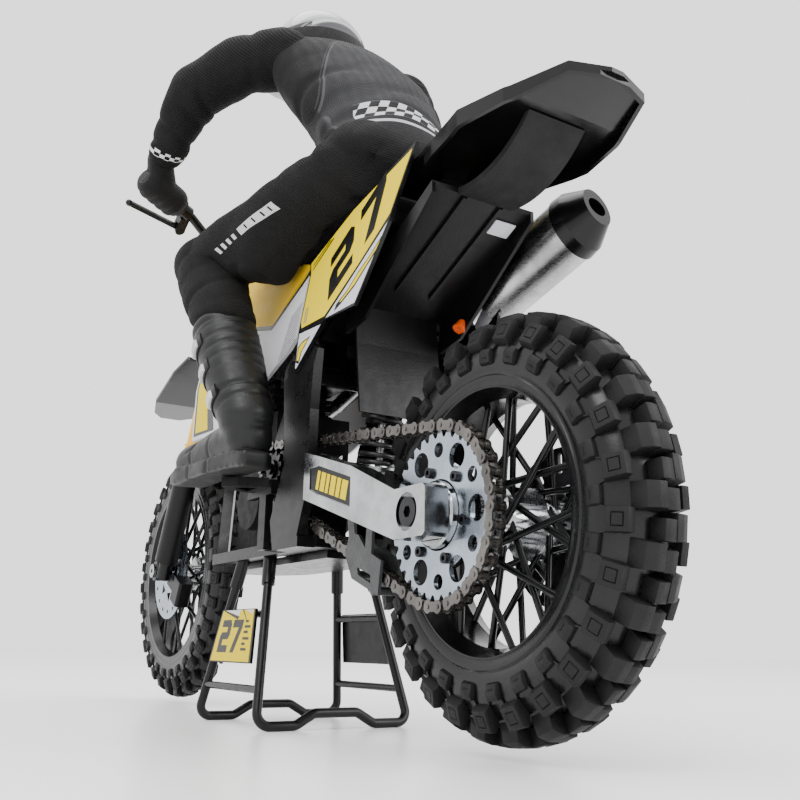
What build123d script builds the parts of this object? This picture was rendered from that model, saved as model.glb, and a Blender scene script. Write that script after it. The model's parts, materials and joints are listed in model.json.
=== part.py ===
"""Quarter-scale radio-controlled motocross motorcycle with its rider figure, standing on its display stand.

Frame: +X forward, +Y to the rider's left, +Z up, millimetres. The origin is on the ground, under
the middle of the
bounding box. The stand holds both wheels LIFT above the ground with the suspension fully extended.
"""

import os
from math import asin, atan2, cos, degrees, pi, radians, sin, sqrt

from build123d import *

os.makedirs("parts", exist_ok=True)

# ---------------------------------------------------------------- driving dimensions
DATUM_X = 7.5                  # the pieces are drawn about a datum this far ahead of the frame's origin
LIFT = 4.0                     # height of both tyres above the ground while on the stand
REAR_TIRE_R, REAR_TIRE_HALF = 85.0, 17.0
FRONT_TIRE_R, FRONT_TIRE_HALF = 86.0, 11.5
REAR_AXLE = (-193.5, LIFT + REAR_TIRE_R)
FRONT_AXLE = (177.5, LIFT + FRONT_TIRE_R)
AXLE_R = 3.0
RUNNING = 0.06                 # radial clearance of a shaft that turns

RAKE = 27.0                    # steering head angle from vertical, degrees
AXLE_OFFSET = 12.3             # front axle ahead of the steering axis, square to it
FORK_OFFSET = 5.5              # fork legs ahead of the steering axis
FORK_SPREAD = 20.0             # half the distance between the fork legs
LOWER_CLAMP_W, UPPER_CLAMP_W = 151.0, 202.0    # heights along the steering axis

PIVOT = (-38.0, 130.0)         # swingarm pivot, on the countershaft's axis
PLATE_IN, PLATE_OUT = 24.0, 28.0               # faces of the plates that carry the pivot, from the middle
SPAR_IN, SPAR_OUT = 37.6, 42.4                 # faces of the outer rear spars

CHAIN_PITCH, CHAIN_Y = 6.35, 33.4
REAR_TEETH, FRONT_TEETH = 34, 12
ROLLER_R = 1.65
ROLLER_GAP = 0.15              # tooth tips stay this far inside the rollers


# the steering axis leans back by RAKE; U runs square to it, W along it
RAKE_RAD = radians(RAKE)
AXIS_DIR = Vector(-sin(RAKE_RAD), 0, cos(RAKE_RAD))
AXIS_NORMAL = Vector(cos(RAKE_RAD), 0, sin(RAKE_RAD))
AXIS_FOOT = Vector(FRONT_AXLE[0] - AXLE_OFFSET / cos(RAKE_RAD), 0, FRONT_AXLE[1])
STEER = Plane(origin=AXIS_FOOT, x_dir=AXIS_NORMAL, z_dir=AXIS_DIR)


def steer_point(u, y, w):
    """A point given square to the steering axis, sideways and along it."""
    return AXIS_FOOT + AXIS_NORMAL * u + Vector(0, y, 0) + AXIS_DIR * w


def steer_plane(u, y, w):
    """A plane square to the steering axis, with its x along U."""
    return Plane(origin=steer_point(u, y, w), x_dir=AXIS_NORMAL, z_dir=AXIS_DIR)


def save(piece, label):
    """Sets a finished piece in the shared frame, labels it and writes it as its own STEP file."""
    placed = piece.part.moved(Location((DATUM_X, 0, 0)))
    placed.label = label
    export_step(placed, f"parts/{label}.step")


# The helpers below work inside an open part: each draws one sketch and turns it into a solid there.
def side_plane(y):
    """The vertical plane at y seen from the left, where sketch x is -X and sketch y is Z."""
    return Plane(origin=(0, y, 0), x_dir=(-1, 0, 0), z_dir=(0, 1, 0))


def plate(points, y0, y1, mode=Mode.ADD):
    """A flat plate with an (x, z) outline, from y0 to y1."""
    with BuildSketch(side_plane(y0)) as outline:
        with BuildLine():
            Polyline(*[(-x, z) for x, z in points], close=True)
        make_face()
    extrude(outline.sketch, amount=y1 - y0, mode=mode)


def slab(points, z0, z1, mode=Mode.ADD):
    """A flat slab with an (x, y) outline, from z0 to z1."""
    with BuildSketch(Plane.XY.offset(z0)) as outline:
        with BuildLine():
            Polyline(*points, close=True)
        make_face()
    extrude(outline.sketch, amount=z1 - z0, mode=mode)


def mirrored(half):
    """An (x, y) half outline on the left, closed with its own reflection."""
    return half + [(x, -y) for x, y in reversed(half)]


def turned(centre, outline, mode=Mode.ADD):
    """A solid of revolution about the cross axis through centre; outline is a list of (y, radius)."""
    with BuildSketch(Plane(origin=(centre[0], 0, centre[1]), x_dir=(0, 1, 0), z_dir=(1, 0, 0))) as section:
        with BuildLine():
            Polyline(*outline, close=True)
        make_face()
    revolve(section.sketch, axis=Axis((centre[0], 0, centre[1]), (0, 1, 0)), mode=mode)


def disc(centre, radius, y0, y1, mode=Mode.ADD):
    """A cylinder on the cross axis through centre, from y0 to y1."""
    with BuildSketch(side_plane(y0)) as face:
        with Locations((-centre[0], centre[1])):
            Circle(radius)
    extrude(face.sketch, amount=y1 - y0, mode=mode)


def along(start, end):
    """The plane at start that faces end, with its x level."""
    run = Vector(*end) - Vector(*start)
    level = Vector(0, 0, 1).cross(run)
    return Plane(origin=start, x_dir=level if level.length > 1e-6 else Vector(0, 1, 0), z_dir=run)


def rod(start, end, radius, mode=Mode.ADD, clean=True):
    """A round rod between two points."""
    with BuildSketch(along(start, end)) as section:
        Circle(radius)
    extrude(section.sketch, amount=(Vector(*end) - Vector(*start)).length, mode=mode, clean=clean)


def beam(start, end, width, height, mode=Mode.ADD):
    """A box-section bar between two points; width is level, height square to it."""
    with BuildSketch(along(start, end)) as section:
        Rectangle(width, height)
    extrude(section.sketch, amount=(Vector(*end) - Vector(*start)).length, mode=mode)


def limb(start, end, r_start, r_end, mode=Mode.ADD):
    """A tapered capsule: two balls and the cone that touches both."""
    a, b = Vector(*start), Vector(*end)
    length = (b - a).length
    tilt = asin((r_start - r_end) / length)
    level = Vector(0, 0, 1).cross(b - a)
    level = level if level.length > 1e-6 else Vector(1, 0, 0)
    low = (r_start * cos(tilt), r_start * sin(tilt))
    high = (r_end * cos(tilt), length + r_end * sin(tilt))
    low_mid = (r_start * cos((tilt - pi / 2) / 2), r_start * sin((tilt - pi / 2) / 2))
    high_mid = (r_end * cos((tilt + pi / 2) / 2), length + r_end * sin((tilt + pi / 2) / 2))
    with BuildSketch(Plane(origin=a, x_dir=level, z_dir=level.cross(b - a))) as section:
        with BuildLine():
            ThreePointArc((0, -r_start), low_mid, low)
            Line(low, high)
            ThreePointArc(high, high_mid, (0, length + r_end))
            Line((0, length + r_end), (0, -r_start))
        make_face()
    revolve(section.sketch, axis=Axis(a, b - a), mode=mode)


def pipe(points, radii, radius, mode=Mode.ADD):
    """A round bar of straight runs joined by tangent arcs."""
    with BuildLine() as route:
        FilletPolyline(*points, radius=radii)
    with BuildSketch(along(points[0], points[1])) as section:
        Circle(radius)
    sweep(section.sketch, path=route.wires()[0], mode=mode)


def box_between(low, high, mode=Mode.ADD):
    """A box given by its two opposite corners."""
    size = [h - l for l, h in zip(low, high)]
    middle = [(h + l) / 2 for l, h in zip(low, high)]
    with Locations(tuple(middle)):
        Box(*size, mode=mode)


# ---------------------------------------------------------------- wheels
def make_tire(name, axle, crown, half, bead):
    """The tyre's outer envelope over its tread blocks, open towards the rim."""
    rise = crown - bead
    outer = [
        (0.76 * half, bead), (0.76 * half, bead + 3.0), (0.97 * half, bead + 0.30 * rise),
        (half, bead + 0.62 * rise), (0.86 * half, bead + 0.86 * rise), (0.55 * half, crown - 0.6),
        (0.0, crown),
    ]
    inner = [
        (0.0, crown - 9.5), (0.5 * half, crown - 10.5), (0.76 * half, bead + 0.60 * rise),
        (0.72 * half, bead + 0.30 * rise), (0.58 * half, bead),
    ]
    outer_right = [(-y, r) for y, r in reversed(outer[:-1])]
    inner_right = [(-y, r) for y, r in reversed(inner[1:])]
    with BuildPart() as piece:
        turned(axle, outer + outer_right + inner_right + inner)
    save(piece, name)


def make_rim(name, axle, bead, half, well):
    """A drop-centre rim: the tyre's beads stand on its seats, inside the flanges."""
    outer = [(half, bead + 2.2), (half, bead - 4.2), (0.48 * half, well), (-0.48 * half, well)]
    outer += [(-half, bead - 4.2), (-half, bead + 2.2)]
    inner = [
        (-half + 1.2, bead + 2.2), (-half + 1.2, bead - 0.2), (-0.55 * half, bead - 0.2),
        (-0.42 * half, well + 2.4), (0.42 * half, well + 2.4), (0.55 * half, bead - 0.2),
        (half - 1.2, bead - 0.2), (half - 1.2, bead + 2.2),
    ]
    with BuildPart() as piece:
        turned(axle, outer + inner)
    save(piece, name)


def make_spokes(name, axle, per_side, hub_at, rim_at, lean_deg, radius):
    """Crossed spokes: on each side one family leans forwards and the other backwards, in two layers."""
    hub_r, hub_y = hub_at
    rim_r, rim_y = rim_at
    with BuildPart() as piece:
        for side in (1, -1):
            for k in range(per_side):
                outer_at = radians(360.0 / per_side * (k + (0.5 if side < 0 else 0.0)))
                inner_at = outer_at + radians(lean_deg if k % 2 else -lean_deg)
                layer = 1.05 * radius if k % 2 else -1.05 * radius
                start = (axle[0] + hub_r * cos(inner_at), side * (hub_y + layer),
                         axle[1] + hub_r * sin(inner_at))
                end = (axle[0] + rim_r * cos(outer_at), side * (rim_y + layer),
                       axle[1] + rim_r * sin(outer_at))
                rod(start, end, radius, clean=False)
    save(piece, name)


REAR_BEAD, FRONT_BEAD = 56.5, 63.0
make_tire("rear_tire", REAR_AXLE, REAR_TIRE_R, REAR_TIRE_HALF, REAR_BEAD)
make_tire("front_tire", FRONT_AXLE, FRONT_TIRE_R, FRONT_TIRE_HALF, FRONT_BEAD)
make_rim("rear_rim", REAR_AXLE, REAR_BEAD, 14.6, 49.0)
make_rim("front_rim", FRONT_AXLE, FRONT_BEAD, 10.3, 56.5)
make_spokes("rear_spokes", REAR_AXLE, 18, (13.0, 11.5), (50.0, 4.6), 55.0, 1.35)
make_spokes("front_spokes", FRONT_AXLE, 18, (10.6, 7.6), (57.5, 3.4), 60.0, 1.2)

# rear hub: a spool with two spoke flanges, the sprocket's carrier on the left and a lobed disc flange on
# the right
with BuildPart() as rear_hub:
    turned(REAR_AXLE, [
        (-27.4, AXLE_R + RUNNING), (-27.4, 10.0), (-14.6, 10.5), (-14.6, 14.6), (-8.4, 14.6), (-8.4, 8.0),
        (8.4, 8.0), (8.4, 14.6), (14.6, 14.6), (14.6, 10.5), (28.4, 10.5), (29.6, 20.6), (32.3, 20.6),
        (32.3, 13.6), (36.6, 12.8), (37.4, 12.0), (37.4, 8.6), (35.0, 8.6), (35.0, AXLE_R + RUNNING),
    ])
    with BuildSketch(side_plane(-27.4)):
        with Locations((-REAR_AXLE[0], REAR_AXLE[1])):
            Circle(11.0)
            with PolarLocations(15.0, 6):
                Circle(3.6)
            with PolarLocations(11.0, 6):
                Rectangle(9.0, 5.0)
            with PolarLocations(15.0, 6):
                Circle(1.5, mode=Mode.SUBTRACT)
            Circle(AXLE_R + RUNNING, mode=Mode.SUBTRACT)
    extrude(amount=2.4)
save(rear_hub, "rear_hub")

# rear brake disc: a dark plate outside the lobed flange, with its own slots
with BuildPart() as rear_disc:
    with BuildSketch(side_plane(-29.2)):
        with Locations((-REAR_AXLE[0], REAR_AXLE[1])):
            Circle(34.0)
            Circle(10.2, mode=Mode.SUBTRACT)
            with PolarLocations(27.0, 12):
                SlotOverall(9.0, 2.4, mode=Mode.SUBTRACT)
    extrude(amount=1.7)
save(rear_disc, "rear_disc")

# front hub and its disc
with BuildPart() as front_hub:
    turned(FRONT_AXLE, [
        (-14.6, AXLE_R + RUNNING), (-14.6, 6.5), (-10.4, 6.8), (-10.4, 12.0), (-4.9, 12.0), (-4.9, 5.6),
        (4.9, 5.6), (4.9, 12.0), (10.4, 12.0), (10.4, 7.4), (12.2, 7.4), (12.2, 6.0), (14.6, 6.0),
        (14.6, AXLE_R + RUNNING),
    ])
save(front_hub, "front_hub")

with BuildPart() as front_disc:
    with BuildSketch(side_plane(12.3)):
        with Locations((-FRONT_AXLE[0], FRONT_AXLE[1])):
            Circle(33.0)
            Circle(6.1, mode=Mode.SUBTRACT)
            with PolarLocations(17.0, 8):
                RegularPolygon(4.4, 3, mode=Mode.SUBTRACT)
            with PolarLocations(28.0, 16):
                Circle(1.4, mode=Mode.SUBTRACT)
    extrude(amount=1.3)
save(front_disc, "front_disc")


# ---------------------------------------------------------------- chain drive
def pitch_radius(teeth):
    return CHAIN_PITCH / (2 * sin(pi / teeth))


def tooth_outline(teeth, phase):
    """Tooth tips stop just inside the rollers, so a wheel can turn under its chain."""
    tip = pitch_radius(teeth) - ROLLER_R - ROLLER_GAP
    root = tip - 2.5
    step = 2 * pi / teeth
    points = []
    for k in range(teeth):
        middle = phase + (k + 0.5) * step
        for radius, share in ((root, -0.40), (tip, -0.17), (tip, 0.17), (root, 0.40)):
            points.append((radius * cos(middle + share * step), radius * sin(middle + share * step)))
    return points


REAR_PITCH_R, FRONT_PITCH_R = pitch_radius(REAR_TEETH), pitch_radius(FRONT_TEETH)
SPAN = sqrt((PIVOT[0] - REAR_AXLE[0]) ** 2 + (PIVOT[1] - REAR_AXLE[1]) ** 2)
SPAN_ANGLE = atan2(PIVOT[1] - REAR_AXLE[1], PIVOT[0] - REAR_AXLE[0])
WRAP = asin((REAR_PITCH_R - FRONT_PITCH_R) / SPAN)
STRAIGHT = SPAN * cos(WRAP) / CHAIN_PITCH
REAR_ARC = REAR_TEETH * (0.5 + WRAP / pi)
FRONT_ARC = FRONT_TEETH * (0.5 - WRAP / pi)
LINKS = 74
UNITS = 2 * STRAIGHT + REAR_ARC + FRONT_ARC


def chain_point(k):
    """The (x, z) of pin k: up over the front wheel, back along the top, round the rear wheel and home."""
    s = (k * UNITS / LINKS) % UNITS
    top = SPAN_ANGLE + pi / 2 - WRAP
    bottom = SPAN_ANGLE - pi / 2 + WRAP
    if s < STRAIGHT:
        share = s / STRAIGHT
        x0, z0 = PIVOT[0] + FRONT_PITCH_R * cos(top), PIVOT[1] + FRONT_PITCH_R * sin(top)
        x1, z1 = REAR_AXLE[0] + REAR_PITCH_R * cos(top), REAR_AXLE[1] + REAR_PITCH_R * sin(top)
        return x0 + (x1 - x0) * share, z0 + (z1 - z0) * share
    s -= STRAIGHT
    if s < REAR_ARC:
        angle = top + s / REAR_TEETH * 2 * pi
        return REAR_AXLE[0] + REAR_PITCH_R * cos(angle), REAR_AXLE[1] + REAR_PITCH_R * sin(angle)
    s -= REAR_ARC
    if s < STRAIGHT:
        share = s / STRAIGHT
        x0, z0 = REAR_AXLE[0] + REAR_PITCH_R * cos(bottom), REAR_AXLE[1] + REAR_PITCH_R * sin(bottom)
        x1, z1 = PIVOT[0] + FRONT_PITCH_R * cos(bottom), PIVOT[1] + FRONT_PITCH_R * sin(bottom)
        return x0 + (x1 - x0) * share, z0 + (z1 - z0) * share
    angle = bottom + (s - STRAIGHT) / FRONT_TEETH * 2 * pi
    return PIVOT[0] + FRONT_PITCH_R * cos(angle), PIVOT[1] + FRONT_PITCH_R * sin(angle)


def seat_phase(centre, wanted):
    """The angle of the chain pin nearest to wanted, seen from a wheel's centre."""
    angles = []
    for k in range(LINKS):
        x, z = chain_point(k)
        angles.append(atan2(z - centre[1], x - centre[0]))
    return min(angles, key=lambda angle: abs(angle - wanted))


def link_outline():
    """The waisted outline of one link plate, with its two eyes half a pitch either side of the middle."""
    with Locations((-CHAIN_PITCH / 2, 0), (CHAIN_PITCH / 2, 0)):
        Circle(2.5)
    Rectangle(CHAIN_PITCH, 3.7)


# one inner link: two plates pierced for the pins, with a hollow roller at each end
with BuildPart() as inner_link:
    for y0, thickness in ((-2.25, 0.65), (1.60, 0.65)):
        with BuildSketch(side_plane(y0)):
            link_outline()
            with Locations((-CHAIN_PITCH / 2, 0), (CHAIN_PITCH / 2, 0)):
                Circle(1.0, mode=Mode.SUBTRACT)
        extrude(amount=thickness)
    with BuildSketch(side_plane(-1.60)):
        with Locations((-CHAIN_PITCH / 2, 0), (CHAIN_PITCH / 2, 0)):
            Circle(ROLLER_R)
            Circle(1.0, mode=Mode.SUBTRACT)
    extrude(amount=3.2)

# one outer link: two plates with the two pins through them
with BuildPart() as outer_link:
    for y0, thickness in ((-3.0, 0.65), (2.35, 0.65)):
        with BuildSketch(side_plane(y0)):
            link_outline()
        extrude(amount=thickness)
    with BuildSketch(side_plane(-3.3)):
        with Locations((-CHAIN_PITCH / 2, 0), (CHAIN_PITCH / 2, 0)):
            Circle(0.9)
    extrude(amount=6.6)

with BuildPart() as drive_chain:
    for k in range(LINKS):
        here, there = chain_point(k), chain_point(k + 1)
        turn = degrees(atan2(there[1] - here[1], there[0] - here[0]))
        link = outer_link if k % 2 else inner_link
        middle = ((here[0] + there[0]) / 2, CHAIN_Y, (here[1] + there[1]) / 2)
        with Locations(Location(middle, (0, -turn, 0))):
            add(link.part, clean=False)
save(drive_chain, "drive_chain")

with BuildPart() as rear_sprocket:
    sprocket_plane = Plane(origin=(REAR_AXLE[0], CHAIN_Y + 1.0, REAR_AXLE[1]), x_dir=(1, 0, 0), z_dir=(0, -1, 0))
    with BuildSketch(sprocket_plane):
        with BuildLine():
            Polyline(*tooth_outline(REAR_TEETH, seat_phase(REAR_AXLE, pi)), close=True)
        make_face()
        Circle(13.7, mode=Mode.SUBTRACT)
        with PolarLocations(24.2, 6):
            Circle(5.0, mode=Mode.SUBTRACT)
        with PolarLocations(25.2, 6, start_angle=30):
            Circle(3.0, mode=Mode.SUBTRACT)
    extrude(amount=2.0)
save(rear_sprocket, "rear_sprocket")

with BuildPart() as sprocket_bolts:
    for k in range(6):
        angle = radians(60.0 * k + 12.0)
        middle = (REAR_AXLE[0] + 17.6 * cos(angle), REAR_AXLE[1] + 17.6 * sin(angle))
        disc(middle, 2.1, CHAIN_Y + 1.0, CHAIN_Y + 2.6)
        disc(middle, 1.0, CHAIN_Y + 1.6, CHAIN_Y + 2.6, mode=Mode.SUBTRACT)
save(sprocket_bolts, "sprocket_bolts")

with BuildPart() as countershaft:
    with BuildSketch(Plane(origin=(PIVOT[0], CHAIN_Y + 1.0, PIVOT[1]), x_dir=(1, 0, 0), z_dir=(0, -1, 0))):
        with BuildLine():
            Polyline(*tooth_outline(FRONT_TEETH, seat_phase(PIVOT, 0.0)), close=True)
        make_face()
    extrude(amount=2.0)
    disc(PIVOT, 5.0, 28.3, 35.6)
    disc(PIVOT, AXLE_R, -27.0, 36.8)
save(countershaft, "countershaft")


# ---------------------------------------------------------------- front fork
TUBE_R, STANCHION_R = 5.6, 4.2
TUBE_FOOT, TUBE_TOP = 78.0, 208.0

with BuildPart() as fork_uppers:
    for side in (1, -1):
        with BuildSketch(steer_plane(FORK_OFFSET, side * FORK_SPREAD, TUBE_FOOT)):
            Circle(TUBE_R)
            Circle(STANCHION_R + RUNNING, mode=Mode.SUBTRACT)
        extrude(amount=TUBE_TOP - TUBE_FOOT)
        with BuildSketch(steer_plane(FORK_OFFSET, side * FORK_SPREAD, TUBE_FOOT)):
            Circle(6.4)
            Circle(TUBE_R - 0.4, mode=Mode.SUBTRACT)
        extrude(amount=12.0)
        with BuildSketch(steer_plane(FORK_OFFSET, side * FORK_SPREAD, TUBE_TOP - 3.0)):
            Circle(TUBE_R)
        extrude(amount=4.0)
save(fork_uppers, "fork_uppers")

with BuildPart() as fork_legs:
    for side in (1, -1):
        with BuildSketch(steer_plane(FORK_OFFSET, side * FORK_SPREAD, -8.0)):
            Circle(5.2)
        extrude(amount=12.0)
        with BuildSketch(steer_plane(FORK_OFFSET, side * FORK_SPREAD, 4.0)):
            Circle(STANCHION_R)
        extrude(amount=146.0)
        disc(FRONT_AXLE, 6.8, min(15.2 * side, 25.0 * side), max(15.2 * side, 25.0 * side))
    disc(FRONT_AXLE, AXLE_R + 0.05, -30.0, 30.0, mode=Mode.SUBTRACT)
save(fork_legs, "fork_legs")

with BuildPart() as fork_guards:
    for side in (1, -1):
        with BuildSketch(steer_plane(FORK_OFFSET, side * FORK_SPREAD, 4.4)):
            Circle(8.6)
            Circle(7.2, mode=Mode.SUBTRACT)
            with BuildLine():
                Polyline((0, 0), (-22, side * -16), (0, side * -30), (18, side * -16), close=True)
            make_face(mode=Mode.SUBTRACT)
        extrude(amount=67.0)
        with BuildSketch(steer_plane(FORK_OFFSET, side * FORK_SPREAD, 4.4)):
            Circle(8.6)
            Circle(STANCHION_R + 0.05, mode=Mode.SUBTRACT)
            with BuildLine():
                Polyline((0, 0), (-22, side * -16), (0, side * -30), (18, side * -16), close=True)
            make_face(mode=Mode.SUBTRACT)
        extrude(amount=4.0)
save(fork_guards, "fork_guards")

with BuildPart() as brake_caliper:
    with BuildSketch(steer_plane(-20.0, 14.3, -15.0)):
        RectangleRounded(15.0, 10.0, 2.0)
    extrude(amount=17.0)
    with BuildSketch(steer_plane(-7.0, 17.0, -10.0)):
        Rectangle(16.0, 3.0)
    extrude(amount=7.0)
    disc(FRONT_AXLE, 33.8, 12.0, 13.9, mode=Mode.SUBTRACT)
    rod(steer_point(5.5, 20.0, -20.0), steer_point(5.5, 20.0, 30.0), 5.3, mode=Mode.SUBTRACT)
save(brake_caliper, "brake_caliper")

with BuildPart() as front_axle:
    disc(FRONT_AXLE, AXLE_R, -27.0, 27.0)
    disc(FRONT_AXLE, 4.8, 25.2, 27.2)
    disc(FRONT_AXLE, 4.8, -27.2, -25.2)
    disc(FRONT_AXLE, 1.6, -28.0, 28.0, mode=Mode.SUBTRACT)
save(front_axle, "front_axle")


# ---------------------------------------------------------------- steering head and bars
BAR_R, GRIP_R = 2.8, 4.3
BAR_MID = steer_point(3.0, 0.0, 214.0)
BAR_BEND = (52.5, 60.0, 305.7)
BAR_END = (34.0, 97.0, 314.0)
LEVER_PIVOT = (62.0, 64.0, 300.0)
LEVER_TIP = (46.5, 101.0, 301.0)
LEVER_AXIS = (0.456, 0.167, 0.874)


def on_grip(share, side=1):
    """A point on the bar's outer run, from its bend (0) to its end (1)."""
    x, y, z = [a + (b - a) * share for a, b in zip(BAR_BEND, BAR_END)]
    return x, side * y, z


with BuildPart() as fork_clamps:
    for foot in (LOWER_CLAMP_W - 5.0, UPPER_CLAMP_W - 5.0):
        with BuildSketch(steer_plane(2.2, 0.0, foot)):
            RectangleRounded(23.0, 57.0, 5.0)
            with Locations((FORK_OFFSET - 2.2, FORK_SPREAD), (FORK_OFFSET - 2.2, -FORK_SPREAD)):
                Circle(TUBE_R + 0.05, mode=Mode.SUBTRACT)
        extrude(amount=10.0)
    with BuildSketch(steer_plane(0.0, 0.0, LOWER_CLAMP_W - 5.0)):
        Circle(5.0 - RUNNING)
    extrude(amount=UPPER_CLAMP_W - LOWER_CLAMP_W + 12.0)
    for side in (1, -1):
        with BuildSketch(steer_plane(3.0, side * 11.0, UPPER_CLAMP_W + 4.0)):
            RectangleRounded(9.0, 7.0, 1.0)
        extrude(amount=12.5)
    rod((BAR_MID.X, -26.0, BAR_MID.Z), (BAR_MID.X, 26.0, BAR_MID.Z), BAR_R + 0.05, mode=Mode.SUBTRACT)
save(fork_clamps, "fork_clamps")


with BuildPart() as grips:
    for side in (1, -1):
        rod(on_grip(0.26, side), on_grip(0.995, side), GRIP_R)
        rod(on_grip(0.21, side), on_grip(0.26, side), 6.2)
        rod(on_grip(0.10, side), on_grip(1.05, side), BAR_R + 0.05, mode=Mode.SUBTRACT)
save(grips, "grips")

# the bar, with a lever perch on each side: a collar round the bar with two cheeks that hold the lever's pin
with BuildPart() as handlebar:
    rod(on_grip(0.05), on_grip(0.19), 4.6)
    with BuildSketch(Plane(origin=Vector(*LEVER_PIVOT) - Vector(*LEVER_AXIS) * 3.3,
                           x_dir=Vector(*on_grip(0.11)) - Vector(*LEVER_PIVOT), z_dir=LEVER_AXIS)):
        Circle(3.2)
        with Locations((5.0, 0)):
            Rectangle(10.0, 6.0)
    extrude(amount=6.6)
    with BuildSketch(Plane(origin=Vector(*LEVER_PIVOT) - Vector(*LEVER_AXIS) * 1.4,
                           x_dir=Vector(*on_grip(0.11)) - Vector(*LEVER_PIVOT), z_dir=LEVER_AXIS)):
        with Locations((-0.7, 0)):
            Rectangle(10.6, 16.0)
        Circle(1.0, mode=Mode.SUBTRACT)
    extrude(amount=2.8, mode=Mode.SUBTRACT)
    mirror(about=Plane.XZ)
    pipe(
        [BAR_END, BAR_BEND, (BAR_MID.X, 22.0, BAR_MID.Z), (BAR_MID.X, -22.0, BAR_MID.Z),
         (BAR_BEND[0], -BAR_BEND[1], BAR_BEND[2]), (BAR_END[0], -BAR_END[1], BAR_END[2])],
        12.0, BAR_R,
    )
save(handlebar, "handlebar")


def make_lever(name, side):
    """A ball-ended lever on its pin; side is 1 on the left and -1 on the right."""
    pivot = (LEVER_PIVOT[0], side * LEVER_PIVOT[1], LEVER_PIVOT[2])
    tip = (LEVER_TIP[0], side * LEVER_TIP[1], LEVER_TIP[2])
    axis = Vector(LEVER_AXIS[0], side * LEVER_AXIS[1], LEVER_AXIS[2])
    with BuildPart() as piece:
        rod(Vector(*pivot) - axis * 1.2, Vector(*pivot) + axis * 1.2, 2.9)
        with BuildSketch(Plane(origin=Vector(*pivot) - axis * 1.1, x_dir=Vector(*tip) - Vector(*pivot),
                               z_dir=axis)):
            with Locations((20.0, 0)):
                Rectangle(40.0, 3.0)
        extrude(amount=2.2)
        with Locations(tip):
            Sphere(2.1)
        rod(Vector(*pivot) - axis * 3.0, Vector(*pivot) + axis * 3.0, 1.0 + RUNNING, mode=Mode.SUBTRACT)
    save(piece, name)


make_lever("clutch_lever", 1)
make_lever("brake_lever", -1)

# front fender: a side profile cut to a plan outline, carried under the lower clamp
with BuildPart() as front_fender:
    top = [(106, 221.5), (122, 232.5), (141, 240.5), (175, 231.5), (208, 223), (249, 221)]
    plate(top + [(x, z - 2.2) for x, z in reversed(top)], -40.0, 40.0)
    slab(mirrored([(107, 11), (124, 13), (138, 24.5), (165, 27.5), (208, 25.5), (237, 17), (249, 8)]),
         200.0, 260.0, mode=Mode.INTERSECT)
save(front_fender, "front_fender")

with BuildPart() as front_plate:
    with BuildSketch(Plane(origin=steer_point(15.4, 0, 0), x_dir=(0, 1, 0), z_dir=AXIS_NORMAL)):
        with BuildLine():
            Polyline((-11, 182), (11, 182), (23, 206), (21, 232), (12, 241), (-12, 241), (-21, 232),
                     (-23, 206), close=True)
        make_face()
    extrude(amount=1.8)
save(front_plate, "front_plate")


# ---------------------------------------------------------------- swingarm, axle and chain guide
SHOCK_TOP, SHOCK_FOOT = (-97.0, 184.0), (-88.0, 113.0)

with BuildPart() as swingarm:
    slab([(-206, 49), (-106, 49), (-99, 36.8), (-82, 23), (-38, 23), (-38, 15.4), (-80, 15.4), (-104, 30),
          (-112, 38.4), (-206, 38.4)], 70.0, 150.0)
    plate([(-206, 80.5), (-204.5, 79.2), (-185, 79.2), (-118, 100.5), (-60, 118.5), (-38, 123), (-38, 137),
           (-60, 136.5), (-85, 131.5), (-118, 122.5), (-150, 113), (-185, 98.4), (-204.5, 98.4), (-206, 97)],
          0.0, 60.0, mode=Mode.INTERSECT)
    disc(PIVOT, 9.0, 0.0, 23.0)
    plate([(-150, 95.5), (-120, 104.5), (-112, 108), (-112, 118), (-120, 118), (-150, 108.6)],
          48.2, 50.0, mode=Mode.SUBTRACT)
    disc(REAR_AXLE, 7.2, 46.6, 50.0, mode=Mode.SUBTRACT)
    disc(REAR_AXLE, AXLE_R + 0.05, 30.0, 50.0, mode=Mode.SUBTRACT)
    mirror(about=Plane.XZ)
    disc(SHOCK_FOOT, 2.4, -24.0, 24.0)
    plate([(-76, 116), (-70, 116), (-70, 131), (-76, 131)], -16.0, 16.0)
    disc(PIVOT, 4.2, -30.0, 30.0, mode=Mode.SUBTRACT)
save(swingarm, "swingarm")

with BuildPart() as rear_axle:
    disc(REAR_AXLE, AXLE_R, -48.4, 48.4)
    disc(REAR_AXLE, 5.6, 46.7, 48.6)
    disc(REAR_AXLE, 5.6, -48.6, -46.7)
    for side in (1, -1):
        with BuildSketch(Plane(origin=(REAR_AXLE[0], side * 46.9, REAR_AXLE[1]), x_dir=(1, 0, 0),
                               z_dir=(0, side, 0))):
            RegularPolygon(2.4, 6)
        extrude(amount=3.0, mode=Mode.SUBTRACT)
save(rear_axle, "rear_axle")

# chain guide: a slotted outer plate and a plain inner one either side of the lower run, on two bolted straps
with BuildPart() as chain_guide:
    plate([(-156, 60), (-134, 68), (-128, 78), (-131, 88), (-139, 86), (-146, 79), (-158, 74)], 36.9, 38.3)
    plate([(-150, 65.2), (-139.5, 69.2), (-138.5, 72.4), (-150, 68.6)], 36.0, 40.0, mode=Mode.SUBTRACT)
    plate([(-156, 60), (-134, 68), (-128, 78), (-134, 84), (-148, 79), (-158, 74)], 28.2, 29.7)
    plate([(-137, 82), (-131, 84), (-128, 99), (-133, 98)], 36.9, 38.3)
    plate([(-150, 76), (-145, 78), (-146, 94), (-151, 92.5)], 36.9, 38.3)
    disc((-151.5, 62.2), 1.8, 28.2, 38.3)
    disc((-136.0, 69.6), 1.8, 28.2, 38.3)
save(chain_guide, "chain_guide")


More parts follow.
